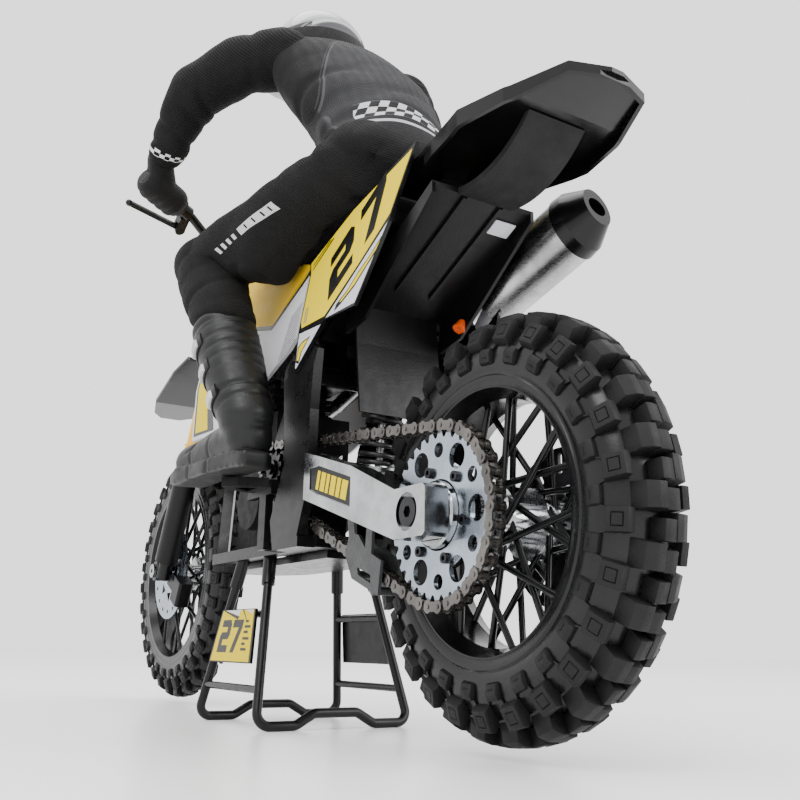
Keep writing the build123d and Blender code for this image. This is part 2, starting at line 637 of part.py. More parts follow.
# ---------------------------------------------------------------- rear shock
SHOCK_RUN = Vector(SHOCK_FOOT[0] - SHOCK_TOP[0], 0, SHOCK_FOOT[1] - SHOCK_TOP[1])
SHOCK_LENGTH = SHOCK_RUN.length
SHOCK_DIR = SHOCK_RUN.normalized()


def on_shock(distance):
    return Vector(SHOCK_TOP[0], 0, SHOCK_TOP[1]) + SHOCK_DIR * distance


with BuildPart() as shock_body:
    rod(on_shock(4.0), on_shock(36.0), 8.4)
    rod(on_shock(11.5), on_shock(14.0), 11.6)
    disc(SHOCK_TOP, 4.6, -4.6, 4.6)
    rod(on_shock(5.5), on_shock(40.0), 2.0 + RUNNING, mode=Mode.SUBTRACT)
    disc(SHOCK_TOP, 2.0 + RUNNING, -6.0, 6.0, mode=Mode.SUBTRACT)
    box_between((SHOCK_TOP[0] - 12, 4.6, SHOCK_TOP[1] - 7), (SHOCK_TOP[0] + 12, 12.0, SHOCK_TOP[1] + 9),
                mode=Mode.SUBTRACT)
    box_between((SHOCK_TOP[0] - 12, -12.0, SHOCK_TOP[1] - 7), (SHOCK_TOP[0] + 12, -4.6, SHOCK_TOP[1] + 9),
                mode=Mode.SUBTRACT)
save(shock_body, "shock_body")

with BuildPart() as shock_shaft:
    rod(on_shock(24.0), on_shock(SHOCK_LENGTH - 3.0), 2.0)
    rod(on_shock(58.0), on_shock(60.4), 11.6)
    disc(SHOCK_FOOT, 5.2, -4.6, 4.6)
    disc(SHOCK_FOOT, 3.1, -6.0, 6.0, mode=Mode.SUBTRACT)
save(shock_shaft, "shock_shaft")

with BuildPart() as shock_spring:
    rod(on_shock(14.3), on_shock(57.7), 11.3)
    rod(on_shock(10.0), on_shock(60.0), 8.8, mode=Mode.SUBTRACT)
save(shock_spring, "shock_spring")


# ---------------------------------------------------------------- frame
PANEL_TILT = 0.17


def flank_y(z):
    """How far out the side panels' inner face stands at a height."""
    return 27.0 + PANEL_TILT * (263.0 - z)


def flank(points, thickness, mode=Mode.ADD, shift=0.0):
    """A plate on the left flank, leaning out towards the bottom; points are (x, z)."""
    stretch = sqrt(1 + PANEL_TILT ** 2)
    leaning = Plane(origin=(0, 27.0 + shift, 263.0), x_dir=(-1, 0, 0), z_dir=(0, 1, PANEL_TILT))
    with BuildSketch(leaning) as outline:
        with BuildLine():
            Polyline(*[(-x, (z - 263.0) * stretch) for x, z in points], close=True)
        make_face()
    extrude(outline.sketch, amount=thickness, mode=mode)


HEAD_LOW, HEAD_HIGH = 157.0, 196.0
CLAMP_SWEEP_R = 18.0
RAIL_Y = 30.0

with BuildPart() as main_frame:
    with BuildSketch(steer_plane(0.0, 0.0, HEAD_LOW)):
        Circle(9.0)
    extrude(amount=HEAD_HIGH - HEAD_LOW)
    plate([(-62, 90), (-18, 90), (-18, 122), (-26, 150), (-44, 176), (-74, 176), (-66, 158), (-62, 140)],
          PLATE_IN, PLATE_OUT)
    plate([(-60, 86), (-56, 100), (-70, 128), (-66, 158), (-64, 178), (-84, 188), (-99, 180), (-96, 150),
           (-96, 112), (-86, 88)], SPAR_IN, SPAR_OUT)
    flank([(-120, 240), (-120, 150), (-50, 150), (-50, 240)], 8.0, mode=Mode.SUBTRACT, shift=-0.2)
    box_between((-92, RAIL_Y - 4, 85), (42, RAIL_Y + 4, 91))
    box_between((-88, RAIL_Y - 4, 85), (-60, SPAR_OUT, 90))
    beam((-74, 36.8, 175), (48, 25, 218), 6.0, 15.0)
    beam((44, 26, 214), (84, 7, 240), 6.0, 14.0)
    beam((78, 7, 224), (38, 29, 90), 6.0, 8.0)
    mirror(about=Plane.XZ)
    box_between((-92, -RAIL_Y, 85), (-84, RAIL_Y, 91))
    box_between((34, -RAIL_Y, 85), (42, RAIL_Y, 91))
    slab(mirrored([(-80, 22), (30, 22), (44, 14), (52, 8)]), 81.5, 85.4)
    disc((-74.0, 174.0), 5.0, -SPAR_OUT, SPAR_OUT)
    for side in (1, -1):
        low, high = min(side * 5.2, side * 8.0), max(side * 5.2, side * 8.0)
        plate([(-70, 170), (-72, 182), (-94, 190.5), (-101, 187.5), (-101.5, 181.8), (-90, 181.2),
                (-80, 172)],
              low, high)
    disc(SHOCK_TOP, 2.0, -8.0, 8.0)
    beam((-66, 0, 176), (-62, 0, 208), 16.0, 8.0)
    beam((-56, 0, 206), (-158, 0, 240), 16.0, 8.0)
    box_between((-156, -7, 238), (-148, 7, 255.4))
    with BuildSketch(steer_plane(0.0, 0.0, HEAD_LOW - 2.0)):
        Circle(5.0)
    extrude(amount=HEAD_HIGH - HEAD_LOW + 4.0, mode=Mode.SUBTRACT)
    with BuildSketch(steer_plane(0.0, 0.0, LOWER_CLAMP_W - 8.0)):
        Circle(CLAMP_SWEEP_R)
    extrude(amount=HEAD_LOW - LOWER_CLAMP_W + 7.6, mode=Mode.SUBTRACT)
    disc(PIVOT, AXLE_R + RUNNING, -30.0, 30.0, mode=Mode.SUBTRACT)
save(main_frame, "main_frame")

FLYWHEEL = (8.0, 143.0)

# engine: a hollow case that houses the drive motor and the balancing flywheel, which turns on a fixed pin
with BuildPart() as engine_case:
    box_between((-16, -23, 92), (32, 23, 168))
    box_between((2, -16.5, 168), (30, 16.5, 196))
    for level in (171, 176, 181, 186, 191):
        box_between((-1, -19, level), (33, 19, level + 2.2))
    disc((6.0, 122.0), 19.0, -31.0, -23.0)
    disc((6.0, 122.0), 15.0, -33.5, -31.0)
    disc((8.0, 118.0), 15.0, 23.0, 28.0)
    box_between((-13.6, -20.6, 94.4), (29.6, 20.6, 165.6), mode=Mode.SUBTRACT)
    disc(FLYWHEEL, 1.5, -20.8, 20.8)
    disc(FLYWHEEL, 5.0, -20.8, -16.5)
    disc(FLYWHEEL, 5.0, 16.5, 20.8)
save(engine_case, "engine_case")

with BuildPart() as drive_motor:
    disc((8.0, 109.0), 12.0, -19.0, 17.0)
    disc((8.0, 109.0), 1.6, 17.0, 20.4)
    disc((8.0, 109.0), 4.5, 17.5, 19.8)
save(drive_motor, "drive_motor")

with BuildPart() as flywheel:
    disc(FLYWHEEL, 18.0, -14.0, 14.0)
    disc(FLYWHEEL, 14.5, -14.0, -9.0, mode=Mode.SUBTRACT)
    disc(FLYWHEEL, 14.5, 9.0, 14.0, mode=Mode.SUBTRACT)
    disc(FLYWHEEL, 5.0, -14.0, 14.0)
    disc(FLYWHEEL, 1.5 + RUNNING, -15.0, 15.0, mode=Mode.SUBTRACT)
save(flywheel, "flywheel")

with BuildPart() as footpegs:
    for side in (1, -1):
        slab([(-53, side * 42.6), (-29, side * 42.6), (-33, side * 57), (-40, side * 63), (-47, side * 57)],
             117.6, 122.4)
        slab([(-47, side * 46), (-35, side * 46), (-40, side * 56)], 110.0, 124.0, mode=Mode.SUBTRACT)
        low, high = sorted((side * 38.6, side * 42.6))
        box_between((-56, low, 114), (-26, high, 121.4))
        box_between((-50, low, 86.5), (-42, high, 114))
        low, high = sorted((side * 34.02, side * 42.6))
        box_between((-50, low, 86.5), (-42, high, 90.5))
save(footpegs, "footpegs")

with BuildPart() as battery_pack:
    box_between((-52, -17, 184), (-4, 17, 212))
    fillet(battery_pack.edges().filter_by(Axis.X), 3.0)
save(battery_pack, "battery_pack")

with BuildPart() as electronics_box:
    box_between((-2, -16, 200), (34, 16, 220))
    with Locations((16, 0, 220)):
        with GridLocations(6.0, 1.0, 4, 1):
            Box(2.0, 24.0, 3.0, align=(Align.CENTER, Align.CENTER, Align.MIN))
save(electronics_box, "electronics_box")

with BuildPart() as steering_servo:
    box_between((38, -9, 200), (60, 9, 218))
    box_between((34.2, -9, 209), (63.5, 9, 211))
    with Locations((56, 0, 218)):
        Cylinder(4.0, 2.0, align=(Align.CENTER, Align.CENTER, Align.MIN))
save(steering_servo, "steering_servo")

with BuildPart() as radiators:
    for side in (1, -1):
        low, high = sorted((side * 21.6, side * 34.2))
        box_between((64, low, 158), (71, high, 214))
        for row in range(9):
            box_between((63.2, low, 161 + row * 5.8), (72.0, high, 162.4 + row * 5.8))
save(radiators, "radiators")


# ---------------------------------------------------------------- seat, tank and bodywork
CAN_FRONT, CAN_REAR = Vector(-128, -44.5, 215), Vector(-183, -48.5, 233)
CAN_DIR = (CAN_REAR - CAN_FRONT).normalized()


def can_plane(distance):
    """A plane square to the silencer, with x level and y up."""
    return Plane(origin=CAN_FRONT + CAN_DIR * distance, x_dir=Vector(0, 0, 1).cross(CAN_DIR), z_dir=CAN_DIR)


with BuildPart() as seat:
    plate([(-128, 240), (14, 226), (14, 262), (-20, 256.5), (-80, 255), (-128, 257.5)], -17.0, 17.0)
    fillet(seat.edges().filter_by(Axis.X, tolerance=20).sort_by(Axis.Z)[-4:], 3.0)
save(seat, "seat")

with BuildPart() as tank:
    plate([(14.4, 232), (57, 232), (61, 246), (54, 257), (40, 262.5), (14.4, 262)], -20.0, 20.0)
    with Locations((36, 0, 262)):
        Cylinder(9.0, 6.0)
save(tank, "tank")

with BuildPart() as number_panels:
    flank([(-166, 262.8), (-153.2, 227), (-134.3, 190.4), (-103.7, 192.2), (-81.1, 170.3), (-75.3, 193.6),
           (-74.5, 227.6), (-71.2, 235.5), (-112.8, 251.3)], 1.8)
    mirror(about=Plane.XZ)
    with BuildSketch(can_plane(-14.0)):
        Ellipse(15.2, 18.6)
    extrude(amount=90.0, mode=Mode.SUBTRACT)
    rod((-88, -31, 201), CAN_FRONT, 6.6, mode=Mode.SUBTRACT)
save(number_panels, "number_panels")

with BuildPart() as shrouds_upper:
    flank([(-70.5, 234.5), (-36, 208), (8, 220), (44, 228), (66, 238), (72, 252), (52, 262), (10, 256),
           (-30, 244), (-60, 239)], 1.8)
    mirror(about=Plane.XZ)
save(shrouds_upper, "shrouds_upper")

with BuildPart() as shrouds_lower:
    flank([(-73.5, 227), (-73.5, 192), (-68, 187), (-34, 172), (24, 158), (58, 160), (74, 196), (76, 236),
           (70, 237.5), (44, 227), (8, 219), (-36, 207)], 1.8)
    mirror(about=Plane.XZ)
save(shrouds_lower, "shrouds_lower")

with BuildPart() as rear_fender:
    top = [(-128.4, 258), (-160, 257.3), (-200, 255), (-235, 253.5), (-263.5, 255.5)]
    plate(top + [(x, z - 2.0) for x, z in reversed(top)], -45.0, 45.0)
    outline = [(-128.4, 24.5), (-165, 26.5), (-180, 30), (-208, 36), (-232, 31), (-258, 20), (-263.5, 3)]
    slab(mirrored(outline), 240.0, 270.0, mode=Mode.INTERSECT)

with BuildPart() as fender_skirts:
    lower = [(-170, 249), (-200, 247), (-235, 247.5), (-262, 251.5)]
    upper = [(-262, 254.1), (-235, 252.3), (-200, 253.8), (-170, 255.7)]
    plate(lower + upper, -45.0, 45.0)
    slab(mirrored([(-170, 27.2), (-180, 30), (-208, 36), (-232, 31), (-258, 20), (-263.5, 3)]),
         240.0, 270.0, mode=Mode.INTERSECT)
    slab(mirrored([(-160, 25.4), (-180, 28.2), (-207.6, 34.1), (-231, 29.4), (-256.5, 18.6), (-261.5, 2.6)]),
         240.0, 270.0, mode=Mode.SUBTRACT)

with BuildPart() as tail:
    add(rear_fender.part)
    add(fender_skirts.part)
save(tail, "rear_fender")

# inner fender: an arched sheet over the tyre with side walls, and the mud flap that hangs from it
INNER_TOP = [(-179, 238), (-165, 231.5), (-146, 223), (-121, 212), (-100, 203), (-78, 194)]
INNER_RIB = [(x + 0.8, z - 1.5) for x, z in INNER_TOP[:4]]
with BuildPart() as inner_fender:
    plate(INNER_TOP + [(x + 0.8, z - 1.8) for x, z in reversed(INNER_TOP)], -28.6, 28.6)
    for side in (1, -1):
        low, high = sorted((side * 26.8, side * 28.6))
        plate([(-179, 237.3), (-165, 230.8), (-146, 222.2), (-121, 211), (-104, 203.5), (-104, 188),
               (-122, 191), (-157, 216.5), (-179, 232.5)], low, high)
        low, high = sorted((side * 9.0, side * 11.0))
        plate(INNER_RIB + [(x, z - 2.0) for x, z in reversed(INNER_RIB)], low, high)
    plate([(-103.5, 205), (-105.5, 184), (-110.8, 148), (-112.2, 148), (-107.2, 184), (-105.2, 205)],
          -24.0, 24.0)
    rod((-50, -24, 196), (-98, -34.5, 203), 5.6, mode=Mode.SUBTRACT)
save(inner_fender, "inner_fender")

# a curved brace from the back of the inner fender up to the underside of the tail
with BuildPart() as tail_brace:
    with BuildSketch(side_plane(-15.0)):
        with BuildLine():
            ThreePointArc((179.2, 234.8), (206, 236.2), (229, 251.2))
            Line((229, 251.2), (226, 251.2))
            ThreePointArc((226, 251.2), (204.6, 239.0), (179.2, 237.8))
            Line((179.2, 237.8), (179.2, 234.8))
        make_face()
    extrude(amount=30.0)
save(tail_brace, "tail_brace")


# ---------------------------------------------------------------- exhaust
with BuildPart() as exhaust_can:
    with BuildSketch(can_plane(0.0)):
        Ellipse(13.5, 17.0)
    extrude(amount=CAN_REAR.sub(CAN_FRONT).length)
    pipe([(33.2, -8, 160), (47, -8, 160), (46, -23, 174), (0, -24.2, 182), (-58, -24.2, 197),
          (-98, -34.5, 203),
          tuple(CAN_FRONT + CAN_DIR * 4.0)], 6.0, 4.6)
save(exhaust_can, "exhaust_can")

with BuildPart() as exhaust_cap:
    reach = CAN_REAR.sub(CAN_FRONT).length
    with BuildSketch(can_plane(reach + 0.05)):
        Ellipse(14.2, 17.7)
    with BuildSketch(can_plane(reach + 6.0)):
        Ellipse(13.6, 17.0)
    loft()
    with BuildSketch(can_plane(reach + 6.0)):
        Ellipse(13.6, 17.0)
    with BuildSketch(can_plane(reach + 17.0)):
        Ellipse(8.2, 10.6)
    loft()
    with BuildSketch(can_plane(reach + 20.0)):
        Circle(5.2)
    extrude(amount=-14.0, mode=Mode.SUBTRACT)
save(exhaust_cap, "exhaust_cap")


# ---------------------------------------------------------------- stand
LEG_R, LEG_TOP_Z = 2.4, 82.0
LOOPS = ((-53.0, -31.0), (25.0, 6.0))          # each loop: its x on the ground, its x at the top


def leg_point(loop, z, side=1):
    """A point on a leg's centre line at a height."""
    share = (z - LEG_R) / (LEG_TOP_Z - LEG_R)
    return loop[0] + (loop[1] - loop[0]) * share, side * (43.0 - 13.0 * share), z


with BuildPart() as stand_frame:
    for loop in LOOPS:
        ground = loop[0]
        pipe(
            [leg_point(loop, LEG_TOP_Z), leg_point(loop, LEG_R), (ground, 22.0, LEG_R), (ground, 12.0, 8.0),
             (ground, -12.0, 8.0), (ground, -22.0, LEG_R), leg_point(loop, LEG_R, -1),
             leg_point(loop, LEG_TOP_Z, -1)],
            6.0, LEG_R,
        )
    for side in (1, -1):
        for level in (19.0, 55.5):
            rod(leg_point(LOOPS[0], level, side), leg_point(LOOPS[1], level, side), 1.9)
    for loop in LOOPS:
        for side in (1, -1):
            rod(leg_point(loop, 70.5, side), leg_point(loop, 85.5, side), 3.5)
    box_between((-80, -60, 84.8), (60, 60, 99), mode=Mode.SUBTRACT)
save(stand_frame, "stand_frame")

with BuildPart() as stand_plates:
    for side in (1, -1):
        low = leg_point(LOOPS[0], 31.0, side)
        high = leg_point(LOOPS[0], 58.0, side)
        up = Vector(0, high[1] - low[1], high[2] - low[2])
        with BuildSketch(Plane(origin=(0, low[1] + side * 2.6, low[2]), x_dir=(-side, 0, 0),
                               z_dir=Vector(-side, 0, 0).cross(up))):
            with BuildLine():
                Polyline((side * 40.5, 0), (side * 34.0, up.length), (side * -10.5, up.length),
                         (side * -15.5, 0), close=True)
            make_face()
        extrude(amount=1.4)
    for loop in LOOPS:
        for side in (1, -1):
            rod(leg_point(loop, 20.0, side), leg_point(loop, 70.0, side), LEG_R + 0.05, mode=Mode.SUBTRACT)
    for side in (1, -1):
        rod(leg_point(LOOPS[0], 55.5, side), leg_point(LOOPS[1], 55.5, side), 1.95, mode=Mode.SUBTRACT)
save(stand_plates, "stand_plates")


# ---------------------------------------------------------------- rider
SOFT_GAP = 0.3

with BuildPart() as saddle_room:
    box_between((-180, -17.5, 200), (16, 17.5, 258.6))
    box_between((10, -21, 200), (80, 21, 268))
    for side in (1, -1):
        slab([(-175, 0), (-175, side * 36.5), (-76, side * 41), (-76, side * 46), (80, side * 46), (80, 0)],
             150.0, 236.0)
        slab([(-150, 0), (-150, side * 33), (-76, side * 34), (-76, side * 37), (80, side * 37), (80, 0)],
             230.0, 252.5)
        slab([(-175, 0), (-175, side * 29.6), (-112, side * 30.6), (-112, 0)], 236.0, 259.0)
        slab([(-20, 0), (-20, side * 33), (76, side * 33), (76, 0)], 236.0, 262.6)

with BuildPart() as rider_pants:
    limb((-112, -17, 288), (-112, 17, 288), 27.0, 27.0)
    limb((-108, -14, 284), (-72, -12, 292), 24.0, 20.0)
    limb((-108, 14, 284), (-72, 12, 292), 24.0, 20.0)
    for side in (1, -1):
        limb((-104, side * 26, 278), (-4, side * 66, 250), 25.0, 19.0)
        limb((-4, side * 66, 250), (-34, side * 65, 206), 18.6, 17.0)
    add(saddle_room.part, mode=Mode.SUBTRACT)
    box_between((-120, -120, 150), (80, 120, 206), mode=Mode.SUBTRACT)
save(rider_pants, "rider_pants")

with BuildPart() as rider_boots:
    for side in (1, -1):
        limb((-38, side * 65, 197), (-66, side * 62.5, 148), 16.5, 13.5)
        limb((-66, side * 61, 138), (-6, side * 66, 134), 11.5, 9.0)
        slab([(-79, side * 56), (-79, side * 68), (-40, side * 74), (2, side * 76), (6, side * 70),
              (2, side * 59), (-40, side * 54), (-72, side * 51)], 123.0, 129.0)
    box_between((-120, -120, 205.7), (80, 120, 260), mode=Mode.SUBTRACT)
    for side in (1, -1):
        low, high = sorted((0.0, side * 46.3))
        box_between((-180, low, 100), (80, high, 240), mode=Mode.SUBTRACT)
save(rider_boots, "rider_boots")

with BuildPart() as rider_torso:
    limb((-104, -16, 310), (-52, -26, 362), 23.0, 25.0)
    limb((-104, 16, 310), (-52, 26, 362), 23.0, 25.0)
    limb((-100, 0, 312), (-50, 0, 366), 24.0, 26.0)
    limb((-36, -34, 382), (-36, 34, 382), 19.0, 19.0)
    limb((-40, 0, 380), (-14, 0, 394), 20.0, 14.0)
    add(rider_pants.part, mode=Mode.SUBTRACT)
    limb((-112, -17, 288), (-112, 17, 288), 27.3, 27.3, mode=Mode.SUBTRACT)
    limb((-108, -14, 284), (-72, -12, 292), 24.3, 20.3, mode=Mode.SUBTRACT)
    limb((-108, 14, 284), (-72, 12, 292), 24.3, 20.3, mode=Mode.SUBTRACT)
save(rider_torso, "rider_torso")

with BuildPart() as rider_helmet:
    limb((-2, 0, 411), (14, 0, 409), 33.5, 31.5)
    limb((26, -10, 392), (26, 10, 392), 17.0, 17.0)
    with BuildSketch(Plane.XZ.offset(-45)):
        with BuildLine():
            Polyline((30, 399), (80, 399), (80, 421), (34, 421), close=True)
        make_face()
    extrude(amount=90.0, mode=Mode.SUBTRACT)
    with BuildSketch(Plane.XZ.offset(-26)):
        with BuildLine():
            Polyline((20, 436), (62, 431), (74, 426), (74, 424.5), (60, 428), (16, 432), close=True)
        make_face()
    extrude(amount=52.0)
    limb((12, -6, 410), (12, 6, 410), 25.0, 25.0)
    add(rider_torso.part, mode=Mode.SUBTRACT)
save(rider_helmet, "rider_helmet")

with BuildPart() as gloves:
    for side in (1, -1):
        limb(on_grip(0.40, side), on_grip(0.80, side), 9.6, 9.6)
        limb(on_grip(0.62, side), (30, side * 89, 326), 9.0, 7.4)
        rod(on_grip(0.0, side), on_grip(1.2, side), GRIP_R + 0.04, mode=Mode.SUBTRACT)
        rod(on_grip(0.0, side), on_grip(0.27, side), 13.0, mode=Mode.SUBTRACT)
save(gloves, "gloves")


def make_arm(name, side):
    """A bent arm; its shoulder end meets the torso and its wrist end stops short of the glove."""
    with BuildPart() as piece:
        limb((-32, side * 56, 388), (-6, side * 88, 358), 16.5, 13.5)
        limb((-6, side * 88, 358), (13, side * 90, 343), 12.5, 9.8)
        add(rider_torso.part, mode=Mode.SUBTRACT)
        limb((-36, side * -34, 382), (-36, side * 34, 382), 19.0 + SOFT_GAP, 19.0 + SOFT_GAP,
              mode=Mode.SUBTRACT)
        limb((-104, side * 16, 310), (-52, side * 26, 362), 23.0 + SOFT_GAP, 25.0 + SOFT_GAP,
             mode=Mode.SUBTRACT)
    save(piece, name)


make_arm("rider_arm_left", 1)
make_arm("rider_arm_right", -1)
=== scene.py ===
"""Looks for the quarter-scale motocross motorcycle and its rider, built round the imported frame."""
import json
import math

import bmesh
import bpy
import numpy as np
from mathutils import Matrix, Vector


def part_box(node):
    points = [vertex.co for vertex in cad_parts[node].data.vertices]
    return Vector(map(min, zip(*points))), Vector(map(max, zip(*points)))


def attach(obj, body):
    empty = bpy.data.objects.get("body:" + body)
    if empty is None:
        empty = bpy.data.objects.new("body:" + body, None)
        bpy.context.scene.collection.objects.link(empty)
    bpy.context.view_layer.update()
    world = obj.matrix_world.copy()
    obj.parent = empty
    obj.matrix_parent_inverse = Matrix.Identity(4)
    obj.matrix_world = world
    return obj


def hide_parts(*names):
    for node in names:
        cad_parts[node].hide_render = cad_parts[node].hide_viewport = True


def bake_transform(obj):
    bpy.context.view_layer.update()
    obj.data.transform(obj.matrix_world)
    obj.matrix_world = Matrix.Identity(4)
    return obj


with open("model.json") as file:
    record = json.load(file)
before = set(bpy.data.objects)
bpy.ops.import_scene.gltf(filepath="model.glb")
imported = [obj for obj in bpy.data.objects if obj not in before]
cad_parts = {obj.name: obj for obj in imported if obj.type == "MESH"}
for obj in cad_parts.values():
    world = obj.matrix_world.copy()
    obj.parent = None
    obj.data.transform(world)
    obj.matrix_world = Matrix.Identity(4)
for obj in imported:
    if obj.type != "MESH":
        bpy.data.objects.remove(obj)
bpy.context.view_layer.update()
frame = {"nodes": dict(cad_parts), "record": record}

MM = 0.001
BOARD_SHIFT = 7.5  # mm along x from the drawing board, on which all outlines are drawn, to the shared frame
NODES = frame["nodes"]
SIDES = ((1, "left"), (-1, "right"))
MATERIALS = {}


# ---------------------------------------------------------------- materials
def new_material(name):
    """An empty material with one shader, kept in MATERIALS under its name."""
    material = MATERIALS[name] = bpy.data.materials.new(name)
    material.use_nodes = True
    tree = material.node_tree
    tree.nodes.clear()
    output = tree.nodes.new("ShaderNodeOutputMaterial")
    shader = tree.nodes.new("ShaderNodeBsdfPrincipled")
    tree.links.new(shader.outputs[0], output.inputs["Surface"])
    return tree, shader


class Nodes:
    """A short way to write a material's nodes."""

    def __init__(self, tree):
        self.tree = tree
        self.where = None

    def add(self, kind, **values):
        node = self.tree.nodes.new(kind)
        for key, value in values.items():
            setattr(node, key, value)
        return node

    def link(self, source, target):
        self.tree.links.new(source, target)

    def feed(self, value, socket):
        """Sets a socket to a number or a colour, or links another node's output to it."""
        if isinstance(value, (int, float)):
            socket.default_value = value
        elif isinstance(value, tuple):
            socket.default_value = (*value, 1.0)
        else:
            self.link(value, socket)

    def place(self):
        """The point on the piece in metres, in its own rest frame."""
        if self.where is None:
            self.where = self.add("ShaderNodeTexCoord").outputs["Object"]
        return self.where

    def noise(self, scale, detail=4.0, stretch=None):
        node = self.add("ShaderNodeTexNoise")
        node.inputs["Scale"].default_value = scale
        node.inputs["Detail"].default_value = detail
        node.inputs["Roughness"].default_value = 0.55
        source = self.place()
        if stretch:
            mapping = self.add("ShaderNodeMapping")
            mapping.inputs["Scale"].default_value = stretch
            self.link(source, mapping.inputs["Vector"])
            source = mapping.outputs[0]
        self.link(source, node.inputs["Vector"])
        return node.outputs["Fac"]

    def math(self, operation, *values):
        node = self.add("ShaderNodeMath", operation=operation)
        for value, socket in zip(values, node.inputs):
            self.feed(value, socket)
        return node.outputs[0]

    def plus(self, first, *others):
        for other in others:
            first = self.math("ADD", first, other)
        return first

    def minus(self, a, b):
        return self.math("SUBTRACT", a, b)

    def times(self, first, *others):
        for other in others:
            first = self.math("MULTIPLY", first, other)
        return first

    def sine(self, value):
        return self.math("SINE", value)

    def size_of(self, value):
        return self.math("ABSOLUTE", value)

    def ramp(self, value, low, high, out_low=0.0, out_high=1.0):
        node = self.add("ShaderNodeMapRange")
        node.inputs["From Min"].default_value = low
        node.inputs["From Max"].default_value = high
        node.inputs["To Min"].default_value = out_low
        node.inputs["To Max"].default_value = out_high
        self.link(value, node.inputs["Value"])
        return node.outputs[0]

    def mix(self, share, a, b):
        """From colour a at a share of 0 to colour b at 1. The colour sockets of this node are 6, 7 and 2."""
        node = self.add("ShaderNodeMix", data_type="RGBA")
        for value, index in ((share, 0), (a, 6), (b, 7)):
            self.feed(value, node.inputs[index])
        return node.outputs[2]

    def bump(self, height, strength, distance, below=None):
        node = self.add("ShaderNodeBump")
        node.inputs["Strength"].default_value = strength
        node.inputs["Distance"].default_value = distance
        self.link(height, node.inputs["Height"])
        if below is not None:
            self.link(below, node.inputs["Normal"])
        return node.outputs[0]

    def along(self, direction):
        """The place's distance along a direction, in metres times the direction's length."""
        node = self.add("ShaderNodeSeparateXYZ")
        self.link(self.place(), node.inputs[0])
        return self.plus(*(self.times(value, part) for value, part in zip(node.outputs, direction)))

    def split(self):
        node = self.add("ShaderNodeSeparateXYZ")
        self.link(self.place(), node.inputs[0])
        return node.outputs


def plastic(name, colour, rough=0.35, grain=0.15, grain_scale=900.0, coat=0.0, mottle=0.25, specular=0.5):
    """Moulded plastic: slight colour drift, a fine grain and roughness that varies."""
    tree, shader = new_material(name)
    n = Nodes(tree)
    drift = n.noise(60.0, 5.0)
    darker = tuple(c * (1.0 - mottle) for c in colour)
    n.link(n.mix(n.ramp(drift, 0.3, 0.7), darker, colour), shader.inputs["Base Color"])
    n.link(n.ramp(n.noise(180.0, 4.0), 0.3, 0.7, rough * 0.82, rough * 1.18), shader.inputs["Roughness"])
    fine = n.bump(n.noise(grain_scale, 2.0), grain, 0.0004)
    n.link(n.bump(n.noise(45.0, 2.0), 0.06, 0.002, fine), shader.inputs["Normal"])
    shader.inputs["Specular IOR Level"].default_value = specular
    shader.inputs["Coat Weight"].default_value = coat
    shader.inputs["Coat Roughness"].default_value = 0.08


def metal(name, colour, rough=0.25, brush=None, dark=0.75):
    """Machined or plated metal, brushed along one axis if brush names the stretch of its noise."""
    tree, shader = new_material(name)
    n = Nodes(tree)
    cloud = n.noise(70.0, 5.0)
    low = tuple(c * dark for c in colour)
    n.link(n.mix(n.ramp(cloud, 0.35, 0.65), low, colour), shader.inputs["Base Color"])
    shader.inputs["Metallic"].default_value = 1.0
    streaks = n.noise(500.0, 3.0, stretch=brush) if brush else n.noise(300.0, 4.0)
    n.link(n.ramp(streaks, 0.3, 0.7, rough * 0.7, rough * 1.35), shader.inputs["Roughness"])
    n.link(n.bump(streaks, 0.05, 0.0006), shader.inputs["Normal"])


plastic("black_plastic", (0.0035, 0.0035, 0.0038), rough=0.36, grain=0.2, specular=0.2)
plastic("gloss_black", (0.003, 0.003, 0.0033), rough=0.22, grain=0.04, specular=0.25)
plastic("soft_rubber", (0.0045, 0.0045, 0.0048), rough=0.6, grain=0.4, grain_scale=1500.0)
plastic("tread_rubber", (0.020, 0.020, 0.021), rough=0.55, grain=0.3, grain_scale=1300.0)
metal("polished_aluminium", (0.46, 0.47, 0.48), rough=0.13, brush=(1, 8, 1), dark=0.62)
metal("dark_steel", (0.035, 0.035, 0.038), rough=0.35)
metal("chain_steel", (0.17, 0.16, 0.15), rough=0.26, dark=0.55)
metal("plated_steel", (0.40, 0.45, 0.51), rough=0.25, dark=0.78)
metal("brushed_silver", (0.44, 0.44, 0.44), rough=0.27, brush=(1, 1, 14), dark=0.6)
plastic("satin_black_metal", (0.0035, 0.0035, 0.0038), rough=0.3, grain=0.08, specular=0.25)
plastic("yellow_plastic", (0.70, 0.43, 0.0), rough=0.45, grain=0.03, mottle=0.04, specular=0.1)
plastic("yellow_metal", (0.82, 0.44, 0.002), rough=0.25, grain=0.03, coat=0.2, mottle=0.08)
plastic("white_plastic", (0.50, 0.50, 0.52), rough=0.35, grain=0.03, mottle=0.05, specular=0.25)
plastic("grey_plastic", (0.030, 0.031, 0.033), rough=0.45, grain=0.5, mottle=0.4)
plastic("jersey_fabric", (0.025, 0.025, 0.027), rough=0.8, grain=0.5)
plastic("pants_fabric", (0.030, 0.030, 0.031), rough=0.8, grain=0.5)
plastic("boot_rubber", (0.0065, 0.0068, 0.007), rough=0.42, grain=0.3, specular=0.28)
plastic("glove_fabric", (0.014, 0.014, 0.014), rough=0.75, grain=0.4)
plastic("helmet_shell", (0.62, 0.63, 0.63), rough=0.22, grain=0.02, coat=0.5, mottle=0.1)
SLOT_OF = {part["node"]: part["material_slot"] for part in frame["record"]["subparts"]}


def dress(obj, material):
    obj.data.materials.clear()
    obj.data.materials.append(material)


